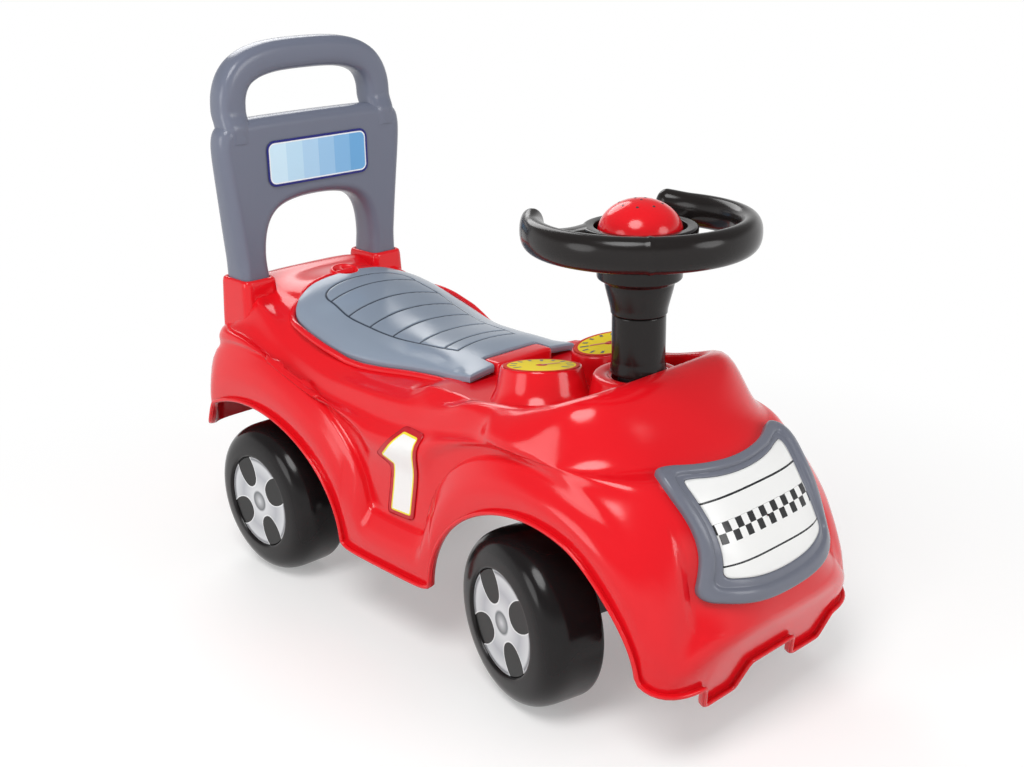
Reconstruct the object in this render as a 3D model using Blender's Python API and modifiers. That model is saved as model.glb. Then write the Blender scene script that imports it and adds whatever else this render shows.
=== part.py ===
# Foot-to-floor ride-on car with a push handle, a hinged seat lid and a steered front axle.
# Metres, +Z up. The front looks along -Y and the driver's right hand is on the -X side.
# The origin is on the floor under the middle of the car.
import math

import bmesh
import bpy
import numpy as np
from mathutils import Matrix, Vector
from mathutils.bvhtree import BVHTree

# Clearances
GAP = 0.0003            # between pieces that touch
LABEL_GAP = 0.0005      # under a label that lies on a curved panel
RUN_GAP = 0.0005        # between a turning piece and its neighbour

# Wheels and axles
WHEEL_RADIUS = 0.070
WHEEL_OUTER = 0.128     # outer shoulder, from the car's middle plane
WHEEL_INNER = 0.078     # inner edge of the tread
WHEEL_SKIN = 0.003
WHEEL_STEPS = 24
RECESS_RADIUS = 0.0425
RECESS_DEPTH = 0.012
DISC_INSET = 0.0025     # the printed disc lies this far inside the outer shoulder
DISC_THICK = 0.002
AXLE_RADIUS = 0.004
NUT_RADIUS = 0.008
NUT_LENGTH = 0.0055
FRONT_AXLE_Y = -0.151
REAR_AXLE_Y = 0.199
STEER_REST_DEG = -12.2  # the front wheels are turned this far to the driver's right

# Body shell: half width and the ends of each ring, from the lower edge up to the seat opening
BODY_WALL = 0.0025
LIP_OUT = 0.003
RINGS = {               # half width, front y, rear y, squareness of the front and the rear corners
    "edge": (0.1205, -0.2830, 0.2955, 7.5, 11.5),
    "flank": (0.1210, -0.2898, 0.2962, 6.3, 10.3),
    "crease": (0.1122, -0.2970, 0.2955, 4.1, 9.3),
    "panel": (0.1111, -0.2970, 0.2935, 3.7, 8.0),
    "middle": (0.1124, -0.2710, 0.2915, 2.6, 7.5),
    "hood": (0.1112, -0.2453, 0.2892, 2.95, 6.7),
    "shoulder": (0.1135, -0.2325, 0.2875, 2.65, 6.0),
    "rim": (0.0960, -0.1770, 0.2830, 3.3, 4.0),
    "rim_inner": (0.0897, -0.1725, 0.2620, 4.0, 3.6),
    "foot": (0.0842, -0.1695, 0.2240, 4.0, 3.3),
    "opening": (0.0660, 0.0040, 0.2000, 6.0, 6.0),
}
WAIST = {               # how the half width of a ring changes along the car: y and share
    "shoulder": ((-0.120, 1.0), (-0.060, 0.935), (0.030, 0.895), (0.150, 0.925)),
    "rim": ((-0.120, 0.95), (-0.050, 1.0), (0.120, 1.0), (0.200, 0.95), (0.240, 0.90)),
    "rim_inner": ((-0.120, 0.95), (-0.050, 1.0), (0.120, 1.0), (0.200, 0.95), (0.240, 0.90)),
    "foot": ((-0.120, 0.958), (-0.020, 1.0), (0.150, 1.0), (0.200, 0.95)),
    "opening": ((0.020, 0.80), (0.060, 0.88), (0.100, 1.0), (0.150, 1.06)),
}
CORNER_FRONT_Y = -0.120     # where the front corner runs into the side
CORNER_REAR_Y = 0.170       # where the side runs into the rear corner
SILL_Z = 0.066
BUMPER_Z = 0.0610
REAR_EDGE_Z = 0.122
FRONT_ARCH = (-0.1512, 0.1053, 0.1110, 0.0986)    # centre y, reach forward, reach back, height
REAR_ARCH = (0.2066, 0.1300, 0.1240, 0.0970)
ARCH_FILLET = 0.0111
NOSE_FILLET = 0.0280      # the fillet at the foot of the front arch, towards the nose
CREASE_Z = 0.1008
FRONT_FLARE = (-0.1297, 0.1455, 0.1047, 0.0953)
REAR_FLARE = (0.2222, 0.1693, 0.1339, 0.1040)
DOOR_RECESS = 0.0045
TAB_X = (0.0261, 0.0350, 0.0690, 0.0764)     # skirt tab: root, tip, tip, root
TAB_DROP = 0.0210
SHOULDER_Z = ((-0.2325, 0.2066), (-0.180, 0.2070), (-0.110, 0.2080), (-0.040, 0.1960), (0.040, 0.1860),
              (0.110, 0.1880), (0.160, 0.1980), (0.200, 0.2100), (0.240, 0.2180), (0.287, 0.2190))
RIM_Z = ((-0.1770, 0.2533), (-0.165, 0.2495), (-0.1345, 0.2385), (-0.1024, 0.2305), (-0.065, 0.2255),
         (-0.035, 0.2150), (0.000, 0.2080), (0.050, 0.2045), (0.105, 0.2040), (0.160, 0.2125),
         (0.200, 0.2280), (0.235, 0.2450), (0.265, 0.2560), (0.283, 0.2585))
REAR_CORNER_DROP = 0.012
DASH_FLOOR_Z = 0.2225
LEDGE_DROP = 0.0034
LEDGE_WIDTH = 0.006
SIDE_COLUMNS = 35

# Seat lid
LID_WALL = 0.0040
LID_DROP = 0.0046           # from the lid's top to the surround that it rests on
LID_FRONT_Y = -0.0255
LID_REAR_Y = 0.2125
LID_WIDTH = ((-0.0255, 0.0602), (0.000, 0.0603), (0.020, 0.0609), (0.040, 0.0627), (0.060, 0.0660),
             (0.080, 0.0704), (0.100, 0.0755), (0.120, 0.0800), (0.140, 0.0827), (0.158, 0.0829),
             (0.175, 0.0812), (0.190, 0.0765), (0.203, 0.0640), (0.210, 0.0460), (0.2125, 0.0260))
LID_ROLL = ((-0.0255, 0.0), (0.0, 0.0042), (0.04, 0.0060), (0.14, 0.0064), (0.18, 0.0045), (0.212, 0.0015))
LID_ROLL_ROOM = 0.0024      # extra room under the rolled edge
HINGE_NOTCH_HALF = 0.0320
HINGE_NOTCH_Y = -0.0075
FINGER_NOTCH_RADIUS = 0.012
HINGE_Y = -0.0218
HINGE_Z = 0.2283
HINGE_PIN_RADIUS = 0.0015
HINGE_EAR_RADIUS = 0.0033
HINGE_PIN_HALF = 0.0440

# Storage tray
TRAY_WALL = 0.0024
TRAY_FLOOR_Z = 0.1200
TRAY_FLANGE_WIDTH = 0.0090
TRAY_DRAFT = 0.0045

# Dial pods, column boss and sockets on the body
POD = (0.0395, -0.0863, 0.2471)
POD_TOP_RADIUS = 0.0320
POD_BASE_RADIUS = 0.0370
POD_TILT = (0.113, 0.115)       # inward and towards the driver
GAUGE_RADIUS = 0.0300
LABEL_THICK = 0.0005
BOSS_BASE_RADIUS = 0.0365
BOSS_TOP_RADIUS = 0.0250
BOSS_TOP_Z = 0.2551
SOCKET_X = (0.0588, 0.0900)
SOCKET_Y = (0.2455, 0.2878)
SOCKET_TOP_Z = 0.2625
SOCKET_FLOOR_Z = 0.2215
SOCKET_ROOT_Z = 0.2060
POST_RADIUS = 0.0055
FRONT_POSTS = ((0.068, -0.128), (0.052, -0.158))
REAR_POSTS = ((0.0725, 0.150), (0.0725, 0.195))
BEARING_TOP_Z = 0.1560
BRACKET_TOP_Z = 0.1480

# Backrest
LEG_BOTTOM_Z = 0.2220
BACKREST_FRONT_Y = 0.2488
LEG_DEPTH = 0.0357
HANDLE_DEPTH = 0.0260
BACKREST_BEVEL = 0.0080
LEG_X = (0.0623, 0.0863)
BACKREST_OUTER = ((0.0863, 0.2665), (0.0915, 0.320), (0.0965, 0.360), (0.0988, 0.384), (0.0978, 0.397),
                  (0.0950, 0.406), (0.0940, 0.415), (0.0930, 0.430), (0.0895, 0.445), (0.0820, 0.458),
                  (0.0690, 0.4680), (0.0500, 0.4735), (0.0250, 0.4762))
HANDLE_GAP = ((0.0, 0.4110), (0.0660, 0.4110), (0.0685, 0.4140), (0.0680, 0.430), (0.0640, 0.4415),
              (0.0560, 0.4470), (0.0400, 0.4490), (0.0, 0.4500))
ARCH_GAP = ((0.0623, 0.2670), (0.0605, 0.290), (0.0560, 0.308), (0.0490, 0.3190), (0.0380, 0.3260),
            (0.0200, 0.3298), (0.0, 0.3308))
HANDLE_SETBACK = 0.0075     # the hand loop stands this far behind the panel's front
BACK_LABEL = (0.0570, 0.3450, 0.3870)    # half width, bottom, top

# Steering
COLUMN_RADIUS = 0.0205
COLUMN_BASE_RADIUS = 0.0218
COLUMN_STEM_RADIUS = 0.0125
COLUMN_STEM_Z = 0.0875
COLUMN_JOINT_Z = 0.2862
SPIGOT_RADIUS = 0.0140
SPIGOT_TOP_Z = 0.3120
BUSH_FLANGE_RADIUS = 0.0195
BUSH_FLANGE_THICK = 0.0025
BUSH_SLEEVE_RADIUS = 0.0156
BUSH_BOTTOM_Z = 0.2380
HUB_RADIUS = 0.0430
HUB_BOTTOM_Z = 0.3420
HUB_TOP_Z = 0.3620
NECK_RADIUS = 0.0345
NECK_TOP_Z = 0.3130
CUP_RADIUS = 0.0345
CUP_FLOOR_Z = 0.3385
RIM_RADIUS = 0.0800
RIM_TUBE = 0.0090
RIM_MIDDLE_Z = 0.3588
RIM_GAP_DEG = 90
RIM_STRETCH = 1.36
SPOKE_DEG = 60                  # each side of the driver's direction
SPOKE_WIDTH = 0.0240
SPOKE_Z = (0.3490, 0.3590)
HORN_RADIUS = 0.0325
HORN_BASE_Z = 0.3555
HORN_TOP_Z = 0.3814
HORN_SKIN = 0.002
HORN_TRAVEL = 0.0035
BEAM_HALF = 0.0790
BEAM_HEIGHT = 0.0260
BEAM_DEPTH = 0.0240
BEAM_HUB_RADIUS = 0.0190
BEAM_HUB_TOP_Z = 0.1350

# Grille
GRILLE_OUTER = ((-0.0690, 0.2080), (-0.036, 0.2040), (0.0, 0.2020), (0.036, 0.2040), (0.0690, 0.2080),
                (0.0725, 0.2060), (0.0725, 0.1990), (0.0675, 0.1800), (0.0670, 0.1600), (0.0710, 0.1430),
                (0.0755, 0.1320), (0.0710, 0.1260), (0.0620, 0.1240), (0.032, 0.1190), (0.0, 0.1175),
                (-0.032, 0.1190), (-0.0620, 0.1240), (-0.0710, 0.1260), (-0.0755, 0.1320), (-0.0710, 0.1430),
                (-0.0670, 0.1600), (-0.0675, 0.1800), (-0.0725, 0.1990), (-0.0725, 0.2060))
GRILLE_INNER = ((-0.0540, 0.2010), (-0.028, 0.1975), (0.0, 0.1960), (0.028, 0.1975), (0.0540, 0.2010),
                (0.0562, 0.1990), (0.0558, 0.1950), (0.0530, 0.1780), (0.0525, 0.1620), (0.0540, 0.1500),
                (0.0560, 0.1440), (0.0545, 0.1405), (0.0490, 0.1390), (0.026, 0.1350), (0.0, 0.1335),
                (-0.026, 0.1350), (-0.0490, 0.1390), (-0.0545, 0.1405), (-0.0560, 0.1440), (-0.0540, 0.1500),
                (-0.0525, 0.1620), (-0.0530, 0.1780), (-0.0558, 0.1950), (-0.0562, 0.1990))
GRILLE_HEIGHT = 0.0065
PANEL_THICK = 0.0015
PANEL_ROOM = (0.0008, 0.0018)

# Racing number on the door panel: its outline, to the reader's right and up, about NUMBER_Y
NUMBER_Y = 0.0005
NUMBER_OUTLINE = ((-0.0225, 0.1105), (0.0045, 0.1120), (0.0120, 0.1155), (0.0160, 0.1235), (0.0295, 0.1880),
                  (0.0250, 0.1935), (0.0055, 0.1950), (-0.0040, 0.1935), (-0.0220, 0.1680), (-0.0255, 0.1610),
                  (-0.0190, 0.1545), (-0.0250, 0.1150))

# Colours: base colour, roughness, metallic
RED = ((0.72, 0.012, 0.014), 0.22, 0.0)
SLATE = ((0.16, 0.19, 0.25), 0.30, 0.0)
LID_SLATE = ((0.26, 0.31, 0.38), 0.28, 0.0)
BLACK = ((0.012, 0.011, 0.012), 0.22, 0.0)
DARK = ((0.03, 0.03, 0.032), 0.45, 0.0)
STEEL = ((0.55, 0.55, 0.57), 0.30, 1.0)
NYLON = ((0.75, 0.75, 0.72), 0.45, 0.0)
WHITE = ((0.85, 0.86, 0.88), 0.35, 0.0)
SILVER = ((0.45, 0.46, 0.48), 0.35, 0.0)
YELLOW = ((0.88, 0.75, 0.03), 0.35, 0.0)
BLUE = ((0.30, 0.55, 0.82), 0.35, 0.0)

for old in list(bpy.data.objects):
    bpy.data.objects.remove(old, do_unlink=True)
parts = bpy.data.collections.new("ride_on_car")
cutters = bpy.data.collections.new("cutters")
bpy.context.scene.collection.children.link(parts)
bpy.context.scene.collection.children.link(cutters)


def material(name, finish):
    colour, roughness, metallic = finish
    mat = bpy.data.materials.new(name)
    mat.use_nodes = True
    shader = mat.node_tree.nodes["Principled BSDF"]
    shader.inputs["Base Color"].default_value = (*colour, 1.0)
    shader.inputs["Roughness"].default_value = roughness
    shader.inputs["Metallic"].default_value = metallic
    return mat


def node(name, mesh, finish, parent=None):
    """A named piece with its own material."""
    obj = bpy.data.objects.new(name, mesh)
    parts.objects.link(obj)
    mesh.materials.clear()
    mesh.materials.append(material(name, finish))
    obj.parent = parent
    return obj


def tool(name, mesh, parent=None):
    """A shape that is only used to cut or join other pieces."""
    obj = bpy.data.objects.new(name, mesh)
    cutters.objects.link(obj)
    obj.hide_render = True
    obj.display_type = "WIRE"
    obj.parent = parent
    return obj


def combine(obj, other, operation):
    mod = obj.modifiers.new(other.name, "BOOLEAN")
    mod.operation = operation
    mod.solver = "EXACT"
    mod.object = other


def smooth(mesh, angle=35):
    mesh.shade_smooth()
    mesh.set_sharp_from_angle(angle=math.radians(angle))


def bmesh_to_mesh(bm, name):
    mesh = bpy.data.meshes.new(name)
    bm.to_mesh(mesh)
    bm.free()
    return mesh


def along(direction):
    """Rotation that takes +Z to a direction."""
    return Vector(direction).normalized().to_track_quat("Z", "Y").to_matrix().to_4x4()


def add_cylinder(bm, base, direction, radius, length, top_radius=None, segments=24):
    """A cylinder or cone in a bmesh, from its base point along a direction."""
    top = radius if top_radius is None else top_radius
    turn = along(direction) @ Matrix.Rotation(0.13, 4, "Z")
    place = Matrix.Translation(Vector(base)) @ turn @ Matrix.Translation((0, 0, length / 2))
    bmesh.ops.create_cone(bm, cap_ends=True, segments=segments, radius1=radius, radius2=top,
                          depth=length, matrix=place)


def add_box(bm, low, high):
    size = [h - l for l, h in zip(low, high)]
    middle = [(h + l) / 2 for l, h in zip(low, high)]
    place = Matrix.Translation(middle) @ Matrix.Diagonal((*size, 1.0))
    bmesh.ops.create_cube(bm, size=1.0, matrix=place)


def cylinders(name, shapes, segments=24):
    """A mesh of separate cylinders: each shape is base, direction, radius, length, top radius."""
    bm = bmesh.new()
    for base, direction, radius, length, *top in shapes:
        add_cylinder(bm, base, direction, radius, length, top[0] if top else None, segments)
    return bmesh_to_mesh(bm, name)


def turned(name, profile, steps, closed=False):
    """A profile of radius and height, top to bottom down its outer side, turned about Z."""
    mesh = bpy.data.meshes.new(name)
    count = len(profile)
    edges = [(i, i + 1) for i in range(count - 1)]
    if closed:
        edges.append((count - 1, 0))
    mesh.from_pydata([(r, 0, z) for r, z in profile], edges, [])
    source = bpy.data.objects.new(name, mesh)
    parts.objects.link(source)
    screw = source.modifiers.new("turn", "SCREW")
    screw.axis = "Z"
    screw.steps = steps
    screw.render_steps = steps
    screw.use_merge_vertices = True
    screw.merge_threshold = 0.00001
    seen = source.evaluated_get(bpy.context.evaluated_depsgraph_get())
    result = bpy.data.meshes.new_from_object(seen)
    bpy.data.objects.remove(source, do_unlink=True)
    smooth(result)
    return result


def grid_mesh(name, rows, closed):
    """A surface through rows of points; each row closes on itself when asked."""
    rows = np.asarray(rows)
    count, width = rows.shape[:2]
    faces = []
    last = width if closed else width - 1
    for i in range(count - 1):
        for j in range(last):
            k = (j + 1) % width
            faces.append((i * width + j, i * width + k, (i + 1) * width + k, (i + 1) * width + j))
    mesh = bpy.data.meshes.new(name)
    mesh.from_pydata(rows.reshape(-1, 3).tolist(), [], faces)
    smooth(mesh)
    return mesh


def step(u):
    u = np.clip(u, 0.0, 1.0)
    return u * u * (3 - 2 * u)


def through(points, at):
    """Smooth curve through points of place and value, which doesn't overshoot them."""
    x = np.array([p[0] for p in points])
    y = np.array([p[1] for p in points])
    slope = np.diff(y) / np.diff(x)
    tangent = np.zeros_like(y)
    same = slope[:-1] * slope[1:] > 0
    mean = 2 * slope[:-1] * slope[1:] / np.where(same, slope[:-1] + slope[1:], 1.0)
    tangent[1:-1] = np.where(same, mean, 0.0)
    at = np.clip(np.asarray(at, float), x[0], x[-1])
    k = np.clip(np.searchsorted(x, at) - 1, 0, len(slope) - 1)
    width = x[k + 1] - x[k]
    u = (at - x[k]) / width
    return (y[k] * (1 + 2 * u) * (1 - u) ** 2 + y[k + 1] * u * u * (3 - 2 * u)
            + width * (tangent[k] * u * (1 - u) ** 2 - tangent[k + 1] * u * u * (1 - u)))


# The seat's form, which the lid, the surround and the tray's flange share
def roll_share(x, y):
    """0 on the middle plane, rising steeply to 1 at the lid's side edge."""
    return np.clip(np.abs(x) / np.maximum(through(LID_WIDTH, y), 0.058), 0, 1) ** 6


def seat_z(x, y):
    middle = 0.236 + 0.028 * step((y - 0.06) / 0.17) - 0.0025 * step((0.02 - y) / 0.05)
    crown = np.interp(y, [LID_FRONT_Y, 0.10, 0.23], [0.0075, 0.0134, 0.0160])
    return middle - crown * (x / 0.08) ** 2 - through(LID_ROLL, y) * roll_share(x, y)


def surround_z(x, y):
    under_lid = seat_z(x, y) - LID_DROP - LID_ROLL_ROOM * roll_share(x, y)
    share = step((y + 0.010) / 0.030)
    return DASH_FLOOR_Z + (under_lid - DASH_FLOOR_Z) * share


# The body's lower edge and the crease above it
def arch(y, shape, front_fillet, fillet):
    centre, forward, back, height = shape
    fillet = np.interp(y, [centre - 0.05, centre + 0.05], [front_fillet, fillet])
    reach = np.where(y < centre, forward, back)
    u = np.abs(y - centre) / reach
    rise = np.where(u < 1, height * np.sqrt(np.clip(1 - u * u, 0, 1)), -2 * reach * (u - 1))
    return (rise + np.sqrt(rise ** 2 + fillet ** 2)) / 2


def edge_z(x, y):
    tab = np.interp(np.abs(x), TAB_X, [0, TAB_DROP, TAB_DROP, 0])
    tab = np.where(y < RINGS["edge"][1] + 0.02, tab, 0.0)
    rise = arch(y, FRONT_ARCH, NOSE_FILLET, ARCH_FILLET) + arch(y, REAR_ARCH, ARCH_FILLET, ARCH_FILLET)
    base = SILL_Z + (BUMPER_Z - SILL_Z) * step((-0.19 - y) / 0.05)
    return np.where((y > 0.28) & (np.abs(x) < 0.108), REAR_EDGE_Z, base + rise) - tab


def crease_z(y):
    rise = np.maximum(arch(y, FRONT_FLARE, ARCH_FILLET, ARCH_FILLET), arch(y, REAR_FLARE, ARCH_FILLET, ARCH_FILLET))
    return CREASE_Z + rise


def ring_plan(key, tau):
    """Half of a ring seen from above. tau runs 0 to 1 round the front corner, to 2 down the
    side and to 3 round the rear corner."""
    half, front, rear, bow_front, bow_rear = RINGS[key]
    tau = np.asarray(tau, float)
    start = max(CORNER_FRONT_Y, front + 0.02)
    end = min(CORNER_REAR_Y, rear - 0.02)
    turn_f = np.clip(tau, 0, 1) * math.pi / 2
    turn_r = np.clip(tau - 2, 0, 1) * math.pi / 2
    sin_f, cos_f = np.sin(turn_f), np.abs(np.cos(turn_f))
    sin_r, cos_r = np.sin(turn_r), np.abs(np.cos(turn_r))
    reach_f = (sin_f ** bow_front + cos_f ** bow_front) ** (-1 / bow_front)
    reach_r = (sin_r ** bow_rear + cos_r ** bow_rear) ** (-1 / bow_rear)
    x_front = half * reach_f * sin_f
    y_front = start + (front - start) * reach_f * cos_f
    x_rear = half * reach_r * cos_r
    y_rear = end + (rear - end) * reach_r * sin_r
    x = np.where(tau <= 1, x_front, np.where(tau <= 2, half, x_rear))
    y = np.where(tau <= 1, y_front, np.where(tau <= 2, start + (end - start) * (tau - 1), y_rear))
    if key in WAIST:
        x = x * through(WAIST[key], y)
    return x, y


def door(y):
    """1 over the door panel between the wheels, fading over the wheel flares."""
    return step((y + 0.20) / 0.12) * step((0.24 - y) / 0.12)


def ring_height(key, x, y, edge, crease, shoulder, rim):
    if key == "edge":
        return edge
    if key == "flank":
        return edge + 0.5 * (crease - edge)
    if key == "crease":
        return crease
    if key == "panel":
        return crease + 0.004
    if key == "middle":
        return crease + 0.004 + 0.55 * (shoulder - crease - 0.004)
    if key == "hood":
        return crease + 0.004 + 0.88 * (shoulder - crease - 0.004)
    if key == "shoulder":
        return shoulder
    if key == "rim":
        return rim
    if key == "rim_inner":
        share = step((y + 0.060) / 0.050) * (1 - 0.55 * step((y - 0.20) / 0.05))
        return rim + 0.0005 + share * 0.62 * (surround_z(x, y) - rim)
    return surround_z(x, y)


def key_rings(tau):
    """All rings at the same places along the outline: rings, places, xyz."""
    rows = []
    edge_x, edge_y = ring_plan("edge", tau)
    lip = np.stack([edge_x, edge_y, edge_z(edge_x, edge_y)], -1)
    for key in RINGS:
        x, y = ring_plan(key, tau)
        shoulder_y = np.clip(y, SHOULDER_Z[0][0], SHOULDER_Z[-1][0])
        corner = REAR_CORNER_DROP * (np.abs(x) / RINGS[key][0]) ** 6 * step((y - 0.215) / 0.05)
        z = ring_height(key, x, y, edge_z(x, y), crease_z(y), through(SHOULDER_Z, shoulder_y),
                        through(RIM_Z, y) - corner)
        if key in ("panel", "middle"):
            x = x - DOOR_RECESS * door(y) * step((x - 0.06) / 0.04)
        rows.append(np.stack([x, y, z], -1))
    out = np.gradient(lip[:, :2], axis=0)
    out /= np.linalg.norm(out, axis=1, keepdims=True) + 1e-12
    lip_row = rows[0].copy()
    lip_row[:, 0] += LIP_OUT * np.maximum(out[:, 1], 0)
    lip_row[:, 1] -= LIP_OUT * out[:, 0]
    lip_row[0, 0] = 0.0
    lip_row[-1, 0] = 0.0
    lip_row[:, 2] -= 0.0004
    step_down = rows[-1].copy()
    step_down[:, 2] -= LEDGE_DROP
    ledge = step_down.copy()
    half, front, rear = RINGS["opening"][:3]
    ledge[:, 0] *= (half - LEDGE_WIDTH) / half
    middle = (front + rear) / 2
    ledge[:, 1] = middle + (ledge[:, 1] - middle) * (1 - 2 * LEDGE_WIDTH / (rear - front))
    return np.array([lip_row] + rows + [step_down, ledge])


# Columns of the surface that the door's number and the grille lie on
def column_sets():
    half = outline_places()
    x, y = ring_plan("middle", half)
    door_set = [i for i in range(len(half)) if half[i] >= 1 and -0.07 < y[i] < 0.07]
    nose_set = [i for i in range(len(half)) if half[i] < 1 and x[i] < 0.105]
    return door_set, [-i for i in reversed(nose_set[1:])] + nose_set


# Rows added between the rings, and the rings that stay sharp
ROW_COUNTS = (1, 1, 1, 1, 2, 1, 1, 2, 1, 1, 4, 1, 1)
FLOOR_ROWS = (0.45, 0.80, 0.92)     # rows over the dash floor, from its foot to the seat opening
SHARP_RINGS = (1, 3, 4, 10, 11, 12)


def fill_rows(keys, counts):
    """Rows between rings on a smooth curve through them, which breaks at the sharp rings."""
    gaps = np.linalg.norm(np.diff(keys, axis=0), axis=2)[..., None] + 1e-9
    slopes = np.diff(keys, axis=0) / gaps
    rows = [keys[0]]
    for k, count in enumerate(counts):
        start = slopes[k]
        end = slopes[k]
        if k > 0 and k not in SHARP_RINGS:
            start = (slopes[k - 1] * gaps[k] + slopes[k] * gaps[k - 1]) / (gaps[k] + gaps[k - 1])
        if k + 1 < len(slopes) and k + 1 not in SHARP_RINGS:
            end = (slopes[k] * gaps[k + 1] + slopes[k + 1] * gaps[k]) / (gaps[k] + gaps[k + 1])
        for i in range(1, count + 1):
            u = i / count
            rows.append(keys[k] * (1 + 2 * u) * (1 - u) ** 2 + keys[k + 1] * u * u * (3 - 2 * u)
                        + gaps[k] * (start * u * (1 - u) ** 2 - end * u * u * (1 - u)))
    return np.array(rows)


def outline_places():
    """Places along the outline: at the tabs' corners across the front, then evenly spaced."""
    half, front, rear, bow = RINGS["edge"][:4]
    inner, tip_in, tip_out, outer = TAB_X
    front_x = np.array([0, inner * 0.5, inner, tip_in, (tip_in + tip_out) / 2, tip_out, outer])
    share = front_x / half
    front_tau = np.arctan2(share, (1 - share ** bow) ** (1 / bow)) * 2 / math.pi
    dense = np.linspace(front_tau[-1], 3, 1200)
    x, y = ring_plan("edge", dense)
    path = np.stack([x, y, edge_z(x, y)], -1)
    length = np.concatenate([[0], np.cumsum(np.linalg.norm(np.diff(path, axis=0), axis=1))])
    even = np.interp(np.linspace(0, length[-1], SIDE_COLUMNS + 1), length, dense)
    return np.concatenate([front_tau, even[1:]])


def body_surface(counts):
    """The whole outer surface, both sides, as rows of points that each close on themselves."""
    keys = key_rings(outline_places())
    half_rows = fill_rows(keys, counts)
    first = sum(counts[:10]) + 1
    for row, share in zip(half_rows[first:], FLOOR_ROWS):
        row[:] = keys[10] + (keys[11] - keys[10]) * share
        row[:, 2] = surround_z(row[:, 0], row[:, 1])
    mirror = half_rows[:, -2:0:-1] * np.array([-1.0, 1.0, 1.0])
    return np.concatenate([half_rows, mirror], axis=1)


surface = body_surface(ROW_COUNTS)
DOOR_COLUMNS, NOSE_COLUMNS = column_sets()


def body_patch(name, first_ring, last_ring, columns, lift):
    """A piece of the body's outer surface, lifted off it along its normals."""
    low, high = sum(ROW_COUNTS[:first_ring]), sum(ROW_COUNTS[:last_ring])
    mesh = grid_mesh(name, surface[low:high + 1][:, columns], closed=False)
    normals = [vert.normal.copy() for vert in mesh.vertices]
    for vert, normal in zip(mesh.vertices, normals):
        vert.co += normal * lift
    return mesh


def shell_tree():
    """The body's outer surface, for finding points on it."""
    rows, width = surface.shape[:2]
    faces = [(i * width + j, i * width + (j + 1) % width, (i + 1) * width + (j + 1) % width, (i + 1) * width + j)
             for i in range(rows - 1) for j in range(width)]
    return BVHTree.FromPolygons(surface.reshape(-1, 3).tolist(), faces)


TREE = shell_tree()


def nose_y(x, z):
    """y of the nose at each x and z."""
    hits = [TREE.ray_cast(Vector((a, -0.6, b)), Vector((0, 1, 0)))[0].y for a, b in zip(np.ravel(x), np.ravel(z))]
    return np.array(hits).reshape(np.shape(x))


def nose_normal(x, z):
    """Outward normals of the nose at each x and z."""
    x, z = np.asarray(x, float), np.asarray(z, float)
    reach = 0.006
    slope_x = (nose_y(x + reach, z) - nose_y(x - reach, z)) / (2 * reach)
    slope_z = (nose_y(x, z + reach) - nose_y(x, z - reach)) / (2 * reach)
    normal = np.stack([slope_x, -np.ones_like(x), slope_z], -1)
    return normal / np.linalg.norm(normal, axis=-1, keepdims=True)


def on_nose(x, z, lift):
    """Points at a height above the nose, measured square to it."""
    x, z = np.asarray(x, float), np.asarray(z, float)
    return np.stack([x, nose_y(x, z), z], -1) + nose_normal(x, z) * np.asarray(lift)[..., None]


def round_loop(points, passes):
    """A closed loop with its corners cut smooth."""
    loop = np.asarray(points, float)
    for _ in range(passes):
        ahead = np.roll(loop, -1, axis=0)
        cut = np.stack([0.75 * loop + 0.25 * ahead, 0.25 * loop + 0.75 * ahead], axis=1)
        loop = cut.reshape(-1, loop.shape[1])
    return loop


def fit_recess(obj, name, shapes, parent=None, segments=24):
    """Cuts a set of separate cylinders out of a piece."""
    combine(obj, tool(name, cylinders(name, shapes, segments), parent), "DIFFERENCE")


def pod_frame(side):
    """Top centre and axis of a dial pod."""
    x, y, z = POD
    axis = Vector((-side * POD_TILT[0], POD_TILT[1], 1.0)).normalized()
    return Vector((side * x, y, z)), axis


def post_top(x, y):
    return float(surround_z(np.array(x + POST_RADIUS), np.array(y))) - 0.0006


def screw(name, base, direction, head=0.0036, head_height=0.002, shank=0.0016, length=0.010, parent=None):
    """A pan-head screw: base is under its head, direction is the way it is driven."""
    profile = ((0, 0), (shank, 0), (shank, -length), (0, -length))
    height = [(0, head_height), (head * 0.8, head_height), (head, head_height * 0.5), (head, 0), *profile[1:]]
    mesh = turned(name, height, 8)
    obj = node(name, mesh, STEEL, parent)
    away = -Vector(direction)
    obj.matrix_local = Matrix.Translation(Vector(base)) @ along(away)
    return obj


SCREW_SHANK = 0.0016
SCREW_HOLE = SCREW_SHANK + GAP


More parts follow.
